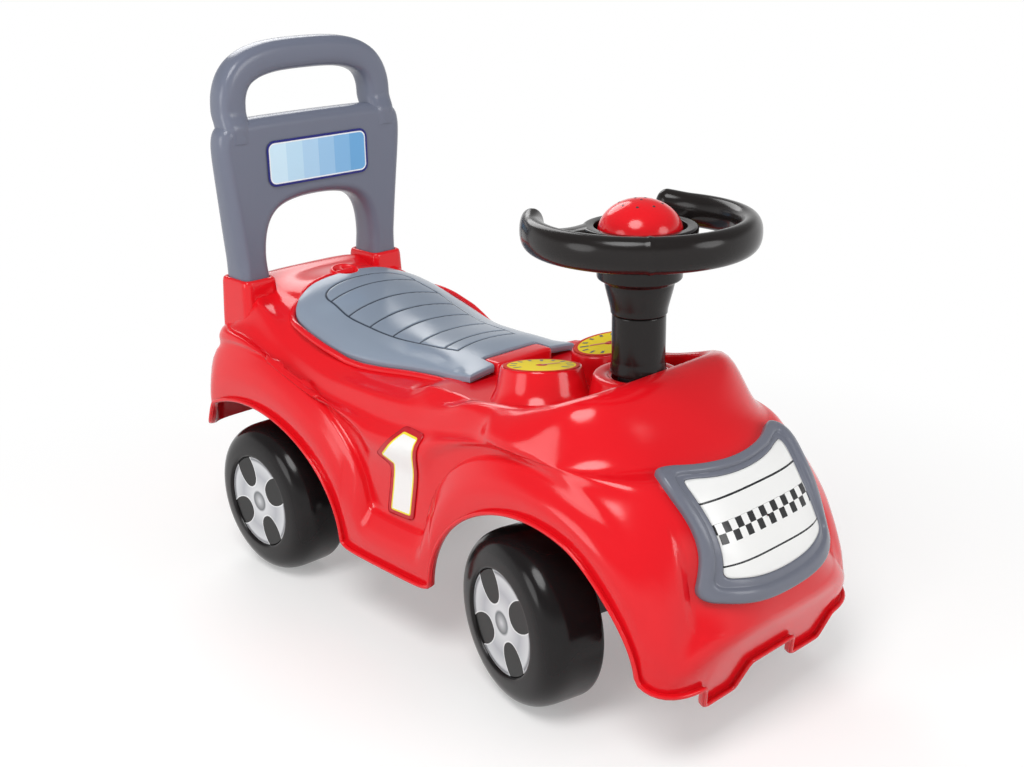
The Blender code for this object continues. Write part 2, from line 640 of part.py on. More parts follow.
# Body shell
def make_body():
    shell = grid_mesh("body_shell", body_surface(ROW_COUNTS), closed=True)
    body = node("body_shell", shell, RED)
    skin = body.modifiers.new("wall", "SOLIDIFY")
    skin.thickness = BODY_WALL
    skin.offset = -1.0

    bm = bmesh.new()
    floor = DASH_FLOOR_Z - BODY_WALL * 0.6
    for side in (-1, 1):
        top, axis = pod_frame(side)
        depth = (top.z - floor) / axis.z
        add_cylinder(bm, top - axis * depth, axis, POD_BASE_RADIUS, depth, POD_TOP_RADIUS, 32)
    pods = tool("pods", bmesh_to_mesh(bm, "pods"))
    combine(body, pods, "UNION")
    column = (0, FRONT_AXLE_Y, floor)
    boss = cylinders("boss", [(column, (0, 0, 1), BOSS_BASE_RADIUS, BOSS_TOP_Z - floor, BOSS_TOP_RADIUS)], 32)
    combine(body, tool("boss", boss), "UNION")

    bm = bmesh.new()
    for side in (-1, 1):
        low = (min(side * SOCKET_X[0], side * SOCKET_X[1]), SOCKET_Y[0], SOCKET_ROOT_Z)
        high = (max(side * SOCKET_X[0], side * SOCKET_X[1]), SOCKET_Y[1], SOCKET_TOP_Z)
        add_box(bm, low, high)
    bmesh.ops.bevel(bm, geom=[e for e in bm.edges if abs((e.verts[0].co - e.verts[1].co).z) > 0.01],
                    offset=0.005, segments=3, affect="EDGES", profile=0.5)
    combine(body, tool("sockets", bmesh_to_mesh(bm, "sockets")), "UNION")

    bm = bmesh.new()
    add_box(bm, (-HINGE_NOTCH_HALF + GAP * 3, LID_FRONT_Y, DASH_FLOOR_Z - 0.001),
            (HINGE_NOTCH_HALF - GAP * 3, HINGE_NOTCH_Y - GAP * 3, HINGE_Z + HINGE_EAR_RADIUS))
    for x, y in FRONT_POSTS + REAR_POSTS:
        bottom = BEARING_TOP_Z if y < 0 else BRACKET_TOP_Z
        for side in (-1, 1):
            add_cylinder(bm, (side * x, y, bottom + GAP), (0, 0, 1), POST_RADIUS,
                         post_top(x, y) - bottom - GAP, None, 16)
    combine(body, tool("posts", bmesh_to_mesh(bm, "posts")), "UNION")

    inside = []
    for side in (-1, 1):
        top, axis = pod_frame(side)
        depth = (top.z - floor) / axis.z + 0.006
        inside.append((top - axis * depth, axis, POD_BASE_RADIUS - BODY_WALL, depth - BODY_WALL,
                       POD_TOP_RADIUS - BODY_WALL))
    fit_recess(body, "pod_hollows", inside, segments=32)
    bore = BUSH_SLEEVE_RADIUS + GAP
    hollow_top = BOSS_TOP_Z - 0.010
    boss_cuts = [((0, FRONT_AXLE_Y, floor - 0.006), (0, 0, 1), BOSS_BASE_RADIUS - 0.004,
                  hollow_top - floor + 0.006, BOSS_TOP_RADIUS - 0.002)]
    fit_recess(body, "boss_hollow", boss_cuts, segments=32)
    seat = BOSS_TOP_Z - BUSH_FLANGE_THICK
    fit_recess(body, "bush_seat", [((0, FRONT_AXLE_Y, seat), (0, 0, 1), BUSH_FLANGE_RADIUS + GAP, 0.01)])
    fit_recess(body, "bush_bore", [((0, FRONT_AXLE_Y, hollow_top - 0.002), (0, 0, 1), bore, 0.02)])

    bm = bmesh.new()
    for side in (-1, 1):
        xs = sorted((side * (LEG_X[0] - GAP), side * (LEG_X[1] + GAP)))
        add_box(bm, (xs[0], BACKREST_FRONT_Y - GAP, SOCKET_FLOOR_Z),
                (xs[1], BACKREST_FRONT_Y + LEG_DEPTH + GAP, SOCKET_TOP_Z + 0.01))
    bmesh.ops.bevel(bm, geom=[e for e in bm.edges if abs((e.verts[0].co - e.verts[1].co).z) > 0.01],
                    offset=BACKREST_BEVEL * 0.8, segments=2, affect="EDGES", profile=0.5)
    combine(body, tool("leg_pockets", bmesh_to_mesh(bm, "leg_pockets")), "DIFFERENCE")

    holes = [((side * x, y, (BEARING_TOP_Z if y < 0 else BRACKET_TOP_Z) - 0.002), (0, 0, 1), SCREW_HOLE, 0.014)
             for x, y in FRONT_POSTS + REAR_POSTS for side in (-1, 1)]
    for side in (-1, 1):
        x = side * (LEG_X[0] + LEG_X[1]) / 2
        holes.append(((x, SOCKET_Y[1] + 0.012, BACK_SCREW_Z), (0, -1, 0), SCREW_HOLE, 0.024))
        inside, out = grille_screw_place(side)
        holes.append((inside - out * 0.008, out, SCREW_HOLE, 0.016))
    fit_recess(body, "screw_holes", holes, segments=12)
    pin = [((-HINGE_PIN_HALF, HINGE_Y, HINGE_Z), (1, 0, 0), HINGE_PIN_RADIUS + GAP, 2 * HINGE_PIN_HALF)]
    fit_recess(body, "pin_bore", pin, segments=12)
    room = [((side * (HINGE_NOTCH_HALF + 0.0002), HINGE_Y, HINGE_Z), (side, 0, 0), HINGE_EAR_RADIUS + 0.001, 0.014)
            for side in (-1, 1)]
    fit_recess(body, "ear_room", room, segments=16)
    dish = cylinders("finger_dish", [((0, LID_REAR_Y + 0.004, surround_z(0.0, LID_REAR_Y) - 0.0012), (0, 0.0, 1),
                                      FINGER_NOTCH_RADIUS * 0.7, 0.02, FINGER_NOTCH_RADIUS * 1.3)], 20)
    combine(body, tool("finger_dish", dish), "DIFFERENCE")
    return body


BACK_SCREW_Z = 0.2420
GRILLE_SCREW = (0.0620, 0.1700)     # x and z of the bezel's screws


def grille_screw_place(side):
    """Where a bezel screw's head lies on the inside of the nose, and the way it is driven."""
    x, z = side * GRILLE_SCREW[0], GRILLE_SCREW[1]
    out = Vector(nose_normal(np.array([x]), np.array([z]))[0])
    return Vector((x, float(nose_y(np.array([x]), np.array([z]))[0]), z)) - out * (BODY_WALL + 2 * GAP), out


# Seat lid, hinge pin and storage tray
def make_lid():
    ys = np.array([LID_FRONT_Y, -0.0165, HINGE_NOTCH_Y, 0.012, 0.035, 0.060, 0.085, 0.110, 0.135, 0.155, 0.172,
                   0.186, 0.197, 0.206, LID_REAR_Y])
    half = through(LID_WIDTH, ys)
    across = np.array([-1, -0.86, -0.70, -0.52, -0.30, -0.10, 0.10, 0.30, 0.52, 0.70, 0.86, 1])
    x = half[:, None] * across[None, :]
    y = np.repeat(ys[:, None], len(across), 1)
    rows = np.stack([x, y, seat_z(x, y)], -1)
    lid = node("seat_lid", grid_mesh("seat_lid", rows[::-1], closed=False), LID_SLATE)
    skin = lid.modifiers.new("wall", "SOLIDIFY")
    skin.thickness = LID_WALL
    skin.offset = -1.0
    ears = [((side * (HINGE_NOTCH_HALF + 0.001), HINGE_Y, HINGE_Z), (side, 0, 0), HINGE_EAR_RADIUS, 0.012)
            for side in (-1, 1)]
    combine(lid, tool("hinge_ears", cylinders("hinge_ears", ears, 16)), "UNION")
    bm = bmesh.new()
    add_box(bm, (-HINGE_NOTCH_HALF, LID_FRONT_Y - 0.01, 0.20), (HINGE_NOTCH_HALF, HINGE_NOTCH_Y, 0.26))
    combine(lid, tool("hinge_notch", bmesh_to_mesh(bm, "hinge_notch")), "DIFFERENCE")
    fit_recess(lid, "finger_notch", [((0, LID_REAR_Y + 0.004, 0.20), (0, 0, 1), FINGER_NOTCH_RADIUS, 0.08)])
    bore = [((-HINGE_PIN_HALF - GAP, HINGE_Y, HINGE_Z), (1, 0, 0), HINGE_PIN_RADIUS + GAP,
             2 * HINGE_PIN_HALF + 2 * GAP)]
    fit_recess(lid, "lid_bore", bore, segments=12)
    pin = cylinders("seat_hinge_pin", [((-HINGE_PIN_HALF, HINGE_Y, HINGE_Z), (1, 0, 0), HINGE_PIN_RADIUS,
                                        2 * HINGE_PIN_HALF)], 12)
    smooth(pin)
    node("seat_hinge_pin", pin, STEEL)


def loop_places(count):
    return np.linspace(0, 3, count)


def make_tray():
    places = loop_places(19)
    plan_x, plan_y = ring_plan("opening", places)
    half, front, rear = RINGS["opening"][:3]
    middle = (front + rear) / 2

    def ring(inset, height):
        x = plan_x * (half - inset) / half
        y = middle + (plan_y - middle) * ((rear - front) / 2 - inset) / ((rear - front) / 2)
        return np.stack([x, y, height], -1)

    rest = surround_z(plan_x, plan_y) - LEDGE_DROP + TRAY_WALL * 1.1 + 2.5 * GAP

    base = np.zeros_like(plan_x) + TRAY_FLOOR_Z
    rows = [ring(GAP * 2, rest), ring(TRAY_FLANGE_WIDTH, rest),
            ring(TRAY_FLANGE_WIDTH + TRAY_DRAFT, base + 0.004),
            ring(TRAY_FLANGE_WIDTH + TRAY_DRAFT + 0.004, base)]
    closed = [np.concatenate([r, r[-2:0:-1] * np.array([-1, 1, 1])]) for r in rows]
    mesh = grid_mesh("storage_tray", closed, closed=True)
    bm = bmesh.new()
    bm.from_mesh(mesh)
    rim = sorted(bm.verts, key=lambda v: v.index)[-len(closed[0]):]
    bm.faces.new(rim)
    bmesh.ops.triangulate(bm, faces=[f for f in bm.faces if len(f.verts) > 4])
    bm.to_mesh(mesh)
    bm.free()
    tray = node("storage_tray", mesh, DARK)
    skin = tray.modifiers.new("wall", "SOLIDIFY")
    skin.thickness = TRAY_WALL
    skin.offset = -1.0


# Backrest
def curve_plate(name, loops, depth, bevel=0.0):
    """A flat outline with holes, standing in the XZ plane, as a mesh of the given depth."""
    curve = bpy.data.curves.new(name, "CURVE")
    curve.dimensions = "2D"
    curve.fill_mode = "BOTH"
    curve.extrude = depth / 2 - bevel
    curve.bevel_depth = bevel
    curve.bevel_resolution = 1
    curve.offset = -bevel
    for loop in loops:
        spline = curve.splines.new("POLY")
        spline.points.add(len(loop) - 1)
        for point, (x, z) in zip(spline.points, loop):
            point.co = (x, z, 0, 1)
        spline.use_cyclic_u = True
    source = bpy.data.objects.new(name, curve)
    cutters.objects.link(source)
    seen = source.evaluated_get(bpy.context.evaluated_depsgraph_get())
    mesh = bpy.data.meshes.new_from_object(seen)
    bpy.data.objects.remove(source, do_unlink=True)
    mesh.transform(Matrix.Rotation(math.pi / 2, 4, "X"))
    bm = bmesh.new()
    bm.from_mesh(mesh)
    bmesh.ops.remove_doubles(bm, verts=bm.verts, dist=0.00001)
    bmesh.ops.dissolve_limit(bm, angle_limit=0.002, verts=bm.verts, edges=bm.edges)
    bmesh.ops.recalc_face_normals(bm, faces=bm.faces)
    bm.to_mesh(mesh)
    bm.free()
    return mesh


def mirrored_loop(half_loop):
    """A closed loop from its +X half, which starts and ends on the middle plane or is open there."""
    left = [(-x, z) for x, z in reversed(half_loop) if x > 0]
    return list(half_loop) + left


def make_backrest():
    leg = [(LEG_X[0], LEG_BOTTOM_Z), (LEG_X[1], LEG_BOTTOM_Z)]
    inner = [(x, z) for x, z in reversed(ARCH_GAP)]
    outer_right = leg + list(BACKREST_OUTER)
    outline = outer_right + [(-x, z) for x, z in reversed(outer_right)]
    outline += [(-x, z) for x, z in ARCH_GAP] + inner[1:]
    mesh = curve_plate("backrest_frame", [outline, mirrored_loop(HANDLE_GAP)], HANDLE_DEPTH, BACKREST_BEVEL)
    back = HANDLE_DEPTH / 2
    deeper = LEG_DEPTH - HANDLE_DEPTH
    for vert in mesh.vertices:
        if vert.co.y > 0:
            vert.co.y += deeper * (1 - float(step((vert.co.z - 0.27) / 0.14)))
        else:
            vert.co.y += HANDLE_SETBACK * float(step((vert.co.z - 0.409) / 0.008))
        vert.co.y += BACKREST_FRONT_Y + back
    smooth(mesh, 50)
    frame = node("backrest_frame", mesh, SLATE)
    holes = [((side * (LEG_X[0] + LEG_X[1]) / 2, SOCKET_Y[1] + 0.004, BACK_SCREW_Z), (0, -1, 0), SCREW_HOLE, 0.018)
             for side in (-1, 1)]
    fit_recess(frame, "leg_holes", holes, segments=12)
    half, low, high = BACK_LABEL
    label = rounded_plate(half, (low + high) / 2, (high - low) / 2, 0.008)
    label_mesh = curve_plate("backrest_label", [label], LABEL_THICK)
    obj = node("backrest_label", label_mesh, BLUE)
    obj.location = (0, BACKREST_FRONT_Y - GAP - LABEL_THICK / 2, 0)
    for side, tag in ((-1, "right"), (1, "left")):
        x = side * (LEG_X[0] + LEG_X[1]) / 2
        screw(f"backrest_screw_{tag}", (x, SOCKET_Y[1] + GAP, BACK_SCREW_Z), (0, -1, 0), length=0.012)


def rounded_plate(half, middle_z, half_z, radius, steps=5):
    """Outline of a rectangle with round corners."""
    loop = []
    for quarter in range(4):
        cx = (half - radius) * (1, -1, -1, 1)[quarter]
        cz = (half_z - radius) * (1, 1, -1, -1)[quarter]
        for i in range(steps + 1):
            a = math.pi / 2 * (quarter + i / steps)
            loop.append((cx + radius * math.cos(a), middle_z + cz + radius * math.sin(a)))
    return loop


# Grille, number labels and dial labels
def make_grille():
    outer = round_loop(GRILLE_OUTER, 1)
    inner = round_loop(GRILLE_INNER, 1)
    profile = ((0.0, -0.004), (0.0, 0.0040), (0.14, GRILLE_HEIGHT), (0.55, GRILLE_HEIGHT * 0.9),
               (0.66, GRILLE_HEIGHT * 0.55), (0.94, GRILLE_HEIGHT * 0.5), (1.0, GRILLE_HEIGHT * 0.3),
               (1.0, -0.004))
    rows = []
    for share, lift in profile:
        loop = outer + (inner - outer) * share
        rows.append(on_nose(loop[:, 0], loop[:, 1], np.full(len(loop), lift)))
    rows.append(rows[0])
    mesh = grid_mesh("grille_frame", rows, closed=True)
    bm = bmesh.new()
    bm.from_mesh(mesh)
    bmesh.ops.remove_doubles(bm, verts=bm.verts, dist=0.000001)
    bmesh.ops.recalc_face_normals(bm, faces=bm.faces)
    bm.to_mesh(mesh)
    bm.free()
    frame = node("grille_frame", mesh, SLATE)
    block = tool("nose_block", body_patch("nose_block", 1, 8, NOSE_COLUMNS, LABEL_GAP))
    thick = block.modifiers.new("thick", "SOLIDIFY")
    thick.thickness = 0.007
    thick.offset = -1.0
    combine(frame, block, "DIFFERENCE")
    length = BODY_WALL + 2 * GAP + LABEL_GAP + 0.0030
    spots = [(tag, *grille_screw_place(side)) for side, tag in ((-1, "right"), (1, "left"))]
    holes = [(inside, out, SCREW_HOLE, length + GAP) for _, inside, out in spots]
    fit_recess(frame, "grille_holes", holes, segments=12)
    centre = inner.mean(axis=0)
    loop = centre + (inner - centre) * (1 - np.array(PANEL_ROOM) / np.abs(inner - centre).max(axis=0))
    panel = node("grille_panel", body_patch("grille_panel", 2, 7, NOSE_COLUMNS, LABEL_GAP), WHITE)
    skin = panel.modifiers.new("thickness", "SOLIDIFY")
    skin.thickness = PANEL_THICK
    skin.offset = 1.0
    combine(panel, tool("panel_outline", prism("panel_outline", [(x, -0.35, z) for x, z in loop], (0, 0.2, 0))),
            "INTERSECT")
    for tag, inside, out in spots:
        screw(f"grille_screw_{tag}", inside, out, length=length)


def prism(name, loop, sweep):
    """A closed loop of points swept in a straight line."""
    bm = bmesh.new()
    face = bm.faces.new([bm.verts.new(p) for p in loop])
    solid = bmesh.ops.extrude_face_region(bm, geom=[face])
    moved = [v for v in solid["geom"] if isinstance(v, bmesh.types.BMVert)]
    bmesh.ops.translate(bm, vec=sweep, verts=moved)
    bmesh.ops.recalc_face_normals(bm, faces=bm.faces)
    return bmesh_to_mesh(bm, name)


def make_numbers():
    for side, tag in ((-1, "right"), (1, "left")):
        loop = round_loop([(NUMBER_Y + side * u, z) for u, z in NUMBER_OUTLINE], 1)
        columns = DOOR_COLUMNS if side > 0 else [surface.shape[1] - c for c in reversed(DOOR_COLUMNS)]
        label = node(f"number_label_{tag}", body_patch(f"number_label_{tag}", 4, 7, columns, 1.5 * LABEL_GAP), WHITE)
        skin = label.modifiers.new("thickness", "SOLIDIFY")
        skin.thickness = LABEL_THICK
        skin.offset = 1.0
        cut = prism(f"number_outline_{tag}", [(side * 0.08, y, z) for y, z in loop], (side * 0.06, 0, 0))
        combine(label, tool(f"number_outline_{tag}", cut), "INTERSECT")


def make_gauges():
    for side, tag in ((-1, "right"), (1, "left")):
        top, axis = pod_frame(side)
        mesh = cylinders(f"gauge_label_{tag}", [(top + axis * GAP, axis, GAUGE_RADIUS, LABEL_THICK)], 32)
        smooth(mesh)
        node(f"gauge_label_{tag}", mesh, YELLOW)


# Steering, built straight ahead about its own axis and then turned to the rest angle
def make_steering():
    hold = bpy.data.objects.new("steering_axis", None)
    parts.objects.link(hold)
    hold.location = (0, FRONT_AXLE_Y, 0)
    hold.rotation_euler = (0, 0, math.radians(STEER_REST_DEG))

    bottom = BOSS_TOP_Z + RUN_GAP
    column = turned("steering_column", ((0, SPIGOT_TOP_Z), (SPIGOT_RADIUS, SPIGOT_TOP_Z),
                                        (SPIGOT_RADIUS, COLUMN_JOINT_Z), (COLUMN_RADIUS, COLUMN_JOINT_Z),
                                        (COLUMN_RADIUS, bottom + 0.008), (COLUMN_BASE_RADIUS, bottom + 0.001),
                                        (COLUMN_BASE_RADIUS, bottom), (COLUMN_STEM_RADIUS, bottom),
                                        (COLUMN_STEM_RADIUS, COLUMN_STEM_Z), (0, COLUMN_STEM_Z)), 24)
    column = node("steering_column", column, BLACK, hold)
    fit_recess(column, "column_screw_holes",
               [((0, 0.030, BEAM_SCREW_Z), (0, -1, 0), SCREW_HOLE, 0.028),
                ((0, 0.030, WHEEL_SCREW_Z), (0, -1, 0), SCREW_HOLE, 0.028)], hold, 12)

    neck = COLUMN_JOINT_Z + GAP
    wheel = turned("steering_wheel", (
        (HUB_RADIUS, HUB_TOP_Z), (HUB_RADIUS, HUB_BOTTOM_Z), (NECK_RADIUS, HUB_BOTTOM_Z - 0.006),
        (NECK_RADIUS, NECK_TOP_Z), (NECK_RADIUS - 0.0052, NECK_TOP_Z - 0.001),
        (COLUMN_RADIUS + 0.0003, neck), (SPIGOT_RADIUS + GAP, neck), (SPIGOT_RADIUS + GAP, SPIGOT_TOP_Z + 0.001),
        (0.006, SPIGOT_TOP_Z + 0.001), (0.006, CUP_FLOOR_Z), (CUP_RADIUS, CUP_FLOOR_Z),
        (CUP_RADIUS, HUB_TOP_Z)), 32, closed=True)
    wheel = node("steering_wheel", wheel, BLACK, hold)
    half_gap = math.radians(RIM_GAP_DEG / 2)
    angles = np.linspace(math.pi / 2 + half_gap, math.pi * 2.5 - half_gap, 25)
    curve = bpy.data.curves.new("rim", "CURVE")
    curve.dimensions = "3D"
    curve.bevel_depth = RIM_TUBE
    curve.bevel_resolution = 3
    curve.use_fill_caps = True
    spline = curve.splines.new("POLY")
    spline.points.add(len(angles) - 1)
    for point, a in zip(spline.points, angles):
        point.co = (RIM_RADIUS * math.cos(a), RIM_RADIUS * math.sin(a), 0, 1)
    source = bpy.data.objects.new("rim", curve)
    cutters.objects.link(source)
    seen = source.evaluated_get(bpy.context.evaluated_depsgraph_get())
    rim = bpy.data.meshes.new_from_object(seen)
    bpy.data.objects.remove(source, do_unlink=True)
    bm = bmesh.new()
    bm.from_mesh(rim)
    bmesh.ops.remove_doubles(bm, verts=bm.verts, dist=0.00001)
    bmesh.ops.recalc_face_normals(bm, faces=bm.faces)
    bmesh.ops.scale(bm, vec=(1, 1, RIM_STRETCH), verts=bm.verts)
    bmesh.ops.translate(bm, vec=(0, 0, RIM_MIDDLE_Z), verts=bm.verts)
    bm.to_mesh(rim)
    bm.free()
    combine(wheel, tool("rim", rim, hold), "UNION")
    bm = bmesh.new()
    for side in (-1, 1):
        a = math.radians(90 + side * SPOKE_DEG)
        turn = Matrix.Rotation(a, 4, "Z")
        start = CUP_RADIUS + 0.002
        size = (RIM_RADIUS - start, SPOKE_WIDTH, SPOKE_Z[1] - SPOKE_Z[0])
        place = turn @ Matrix.Translation((start + size[0] / 2, 0, (SPOKE_Z[0] + SPOKE_Z[1]) / 2))
        bmesh.ops.create_cube(bm, size=1.0, matrix=place @ Matrix.Diagonal((*size, 1)))
    combine(wheel, tool("spokes", bmesh_to_mesh(bm, "spokes"), hold), "UNION")
    fit_recess(wheel, "neck_screw_hole", [((0, 0.045, WHEEL_SCREW_Z), (0, -1, 0), SCREW_HOLE, 0.034)], hold, 12)
    fit_recess(wheel, "neck_screw_seat", [((0, 0.060, WHEEL_SCREW_Z), (0, -1, 0), 0.0042, 0.0375)], hold, 12)
    screw("wheel_fixing_screw", (0, 0.0225 + GAP, WHEEL_SCREW_Z), (0, -1, 0), length=0.012, parent=hold)

    rise = HORN_TOP_Z - HORN_BASE_Z
    outside = [(HORN_RADIUS * math.sin(a), HORN_BASE_Z + rise * math.cos(a))
               for a in np.linspace(0, math.pi / 2, 8)]
    skirt = HORN_BASE_Z - 0.012
    inner = HORN_RADIUS - HORN_SKIN
    inside = [(inner * math.sin(a), HORN_BASE_Z + (rise - HORN_SKIN) * math.cos(a))
              for a in np.linspace(math.pi / 2, 0, 5)]
    guide = CUP_RADIUS - GAP
    collar = [(HORN_RADIUS, skirt + 0.0035), (guide, skirt + 0.0030), (guide, skirt), (inner, skirt)]
    dome = turned("horn_button", outside + collar + inside, 32)
    dome = node("horn_button", dome, RED, hold)
    ring = [((0.016 * math.cos(a), 0.016 * math.sin(a), HORN_TOP_Z - 0.012), (0, 0, 1), 0.0010, 0.02)
            for a in np.arange(8) * math.pi / 4]
    ring += [((0.004 * math.cos(a), 0.004 * math.sin(a), HORN_TOP_Z - 0.012), (0, 0, 1), 0.0010, 0.02)
             for a in np.arange(3) * math.pi * 2 / 3]
    fit_recess(dome, "sound_holes", ring, hold, 5)
    low = CUP_FLOOR_Z + GAP
    high = HORN_BASE_Z + (rise - HORN_SKIN) * math.cos(math.pi / 8) - 2 * GAP
    folds = [(0.0, high), (inner * math.sin(math.pi / 8), high)]
    for i in range(4):
        z = high - 0.002 - (high - low - 0.004) * (i + 0.5) / 4
        folds += [(0.019, z), (0.015, z - (high - low - 0.004) / 8)]
    folds += [(0.018, low), (0.0055, low), (0.0055, low + 0.012), (0.0, low + 0.012)]
    node("horn_bellows", turned("horn_bellows", folds, 20), NYLON, hold)
    reed = [(0.0, low + 0.011), (0.0050, low + 0.011), (0.0050, CUP_FLOOR_Z - 0.008), (0.0, CUP_FLOOR_Z - 0.008)]
    node("horn_reed", turned("horn_reed", reed, 16), DARK, hold)

    bm = bmesh.new()
    add_box(bm, (-BEAM_HALF, -BEAM_DEPTH / 2, WHEEL_RADIUS - BEAM_HEIGHT / 2),
            (BEAM_HALF, BEAM_DEPTH / 2, WHEEL_RADIUS + BEAM_HEIGHT / 2))
    bmesh.ops.bevel(bm, geom=bm.edges[:], offset=0.003, segments=2, affect="EDGES", profile=0.5)
    beam = node("axle_beam", bmesh_to_mesh(bm, "axle_beam"), DARK, hold)
    smooth(beam.data)
    tower = cylinders("beam_hub", [((0, 0, WHEEL_RADIUS), (0, 0, 1), BEAM_HUB_RADIUS,
                                    BEAM_HUB_TOP_Z - WHEEL_RADIUS)], 24)
    combine(beam, tool("beam_hub", tower, hold), "UNION")
    fit_recess(beam, "beam_socket", [((0, 0, COLUMN_STEM_Z - GAP), (0, 0, 1), COLUMN_STEM_RADIUS + GAP, 0.06)], hold)
    fit_recess(beam, "beam_bore", [((-0.1, 0, WHEEL_RADIUS), (1, 0, 0), AXLE_RADIUS + GAP, 0.2)], hold, 16)
    fit_recess(beam, "beam_screw_hole", [((0, 0.030, BEAM_SCREW_Z), (0, -1, 0), SCREW_HOLE, 0.020)], hold, 12)
    screw("beam_screw", (0, BEAM_HUB_RADIUS + GAP, BEAM_SCREW_Z), (0, -1, 0), length=0.014, parent=hold)
    return hold


BEAM_SCREW_Z = 0.1150
WHEEL_SCREW_Z = 0.2990


def make_bearings():
    bush = turned("column_bush", ((BUSH_FLANGE_RADIUS, BOSS_TOP_Z), (BUSH_FLANGE_RADIUS, BOSS_TOP_Z - BUSH_FLANGE_THICK
                                                                     + GAP),
                                  (BUSH_SLEEVE_RADIUS, BOSS_TOP_Z - BUSH_FLANGE_THICK + GAP),
                                  (BUSH_SLEEVE_RADIUS, BUSH_BOTTOM_Z), (COLUMN_STEM_RADIUS + GAP, BUSH_BOTTOM_Z),
                                  (COLUMN_STEM_RADIUS + GAP, BOSS_TOP_Z)), 24, closed=True)
    node("column_bush", bush, NYLON).location = (0, FRONT_AXLE_Y, 0)
    bm = bmesh.new()
    add_box(bm, (-0.078, -0.172, BEARING_TOP_Z - 0.006), (0.078, -0.116, BEARING_TOP_Z))
    bmesh.ops.bevel(bm, geom=[e for e in bm.edges if abs((e.verts[0].co - e.verts[1].co).z) > 0.004],
                    offset=0.010, segments=3, affect="EDGES", profile=0.5)
    plate = node("lower_bearing_plate", bmesh_to_mesh(bm, "lower_bearing_plate"), DARK)
    tower = cylinders("bearing_tower", [((0, FRONT_AXLE_Y, BEARING_TOP_Z - 0.006), (0, 0, 1), 0.0185, 0.022)], 24)
    combine(plate, tool("bearing_tower", tower), "UNION")
    holes = [((0, FRONT_AXLE_Y, BEARING_TOP_Z - 0.02), (0, 0, 1), COLUMN_STEM_RADIUS + GAP, 0.06)]
    fit_recess(plate, "bearing_bore", holes)
    holes = [((side * x, y, BEARING_TOP_Z - 0.02), (0, 0, 1), SCREW_HOLE, 0.04)
             for x, y in FRONT_POSTS for side in (-1, 1)]
    fit_recess(plate, "bearing_holes", holes, segments=12)
    spots = [(side * x, y) for x, y in FRONT_POSTS for side in (-1, 1)]
    for i, (x, y) in enumerate(spots, 1):
        screw(f"bearing_screw_{i}", (x, y, BEARING_TOP_Z - 0.006 - GAP), (0, 0, 1), length=0.016)


def make_rear_brackets():
    web_in, web_out = 0.0625, 0.0680
    for side, tag in ((-1, "right"), (1, "left")):
        bm = bmesh.new()
        xs = sorted((side * web_in, side * 0.0780))
        add_box(bm, (xs[0], 0.140, BRACKET_TOP_Z - 0.004), (xs[1], 0.212, BRACKET_TOP_Z))
        bracket = node(f"rear_axle_bracket_{tag}", bmesh_to_mesh(bm, f"rear_axle_bracket_{tag}"), DARK)
        xs = sorted((side * web_in, side * web_out))
        web = bpy.data.meshes.new("web")
        outline = ((0.140, BRACKET_TOP_Z - 0.001), (0.212, BRACKET_TOP_Z - 0.001), (REAR_AXLE_Y + 0.013, 0.062),
                   (REAR_AXLE_Y + 0.005, 0.056), (REAR_AXLE_Y - 0.005, 0.056), (REAR_AXLE_Y - 0.014, 0.062))
        bm = bmesh.new()
        face = bm.faces.new([bm.verts.new((xs[0], y, z)) for y, z in outline])
        solid = bmesh.ops.extrude_face_region(bm, geom=[face])
        moved = [v for v in solid["geom"] if isinstance(v, bmesh.types.BMVert)]
        bmesh.ops.translate(bm, vec=(xs[1] - xs[0], 0, 0), verts=moved)
        bmesh.ops.recalc_face_normals(bm, faces=bm.faces)
        bm.to_mesh(web)
        bm.free()
        combine(bracket, tool(f"web_{tag}", web), "UNION")
        fit_recess(bracket, f"bracket_bore_{tag}",
                   [((side * 0.05, REAR_AXLE_Y, WHEEL_RADIUS), (side, 0, 0), AXLE_RADIUS + GAP, 0.03)], segments=16)
        fit_recess(bracket, f"bracket_holes_{tag}",
                   [((side * x, y, BRACKET_TOP_Z - 0.01), (0, 0, 1), SCREW_HOLE, 0.02) for x, y in REAR_POSTS],
                   segments=12)
        for i, (x, y) in enumerate(REAR_POSTS, 1):
            screw(f"bracket_screw_{tag}_{i}", (side * x, y, BRACKET_TOP_Z - 0.004 - GAP), (0, 0, 1), length=0.014)


# Wheels, axles and push nuts
def wheel_profile():
    """Closed section of the hollow wheel: radius and distance from the car's middle plane."""
    top = WHEEL_RADIUS / math.cos(math.pi / WHEEL_STEPS)
    floor = WHEEL_OUTER - RECESS_DEPTH
    bore = AXLE_RADIUS + GAP
    skin = WHEEL_SKIN
    return ((RECESS_RADIUS, WHEEL_OUTER - 0.0015), (RECESS_RADIUS + 0.0025, WHEEL_OUTER),
            (top * 0.78, WHEEL_OUTER - 0.0012), (top * 0.905, WHEEL_OUTER - 0.0055),
            (top * 0.975, WHEEL_OUTER - 0.0125), (top, WHEEL_OUTER - 0.0220), (top, WHEEL_INNER + 0.003),
            (top - 0.0015, WHEEL_INNER), (top - skin, WHEEL_INNER), (top - skin, WHEEL_OUTER - 0.0225),
            (top * 0.965 - skin, WHEEL_OUTER - 0.0150), (top * 0.89 - skin, WHEEL_OUTER - 0.0085),
            (RECESS_RADIUS + skin, WHEEL_OUTER - 0.0040), (RECESS_RADIUS + skin, floor - skin),
            (0.0095, floor - skin), (0.0095, BEAM_HALF + RUN_GAP), (bore, BEAM_HALF + RUN_GAP), (bore, floor),
            (RECESS_RADIUS, floor))


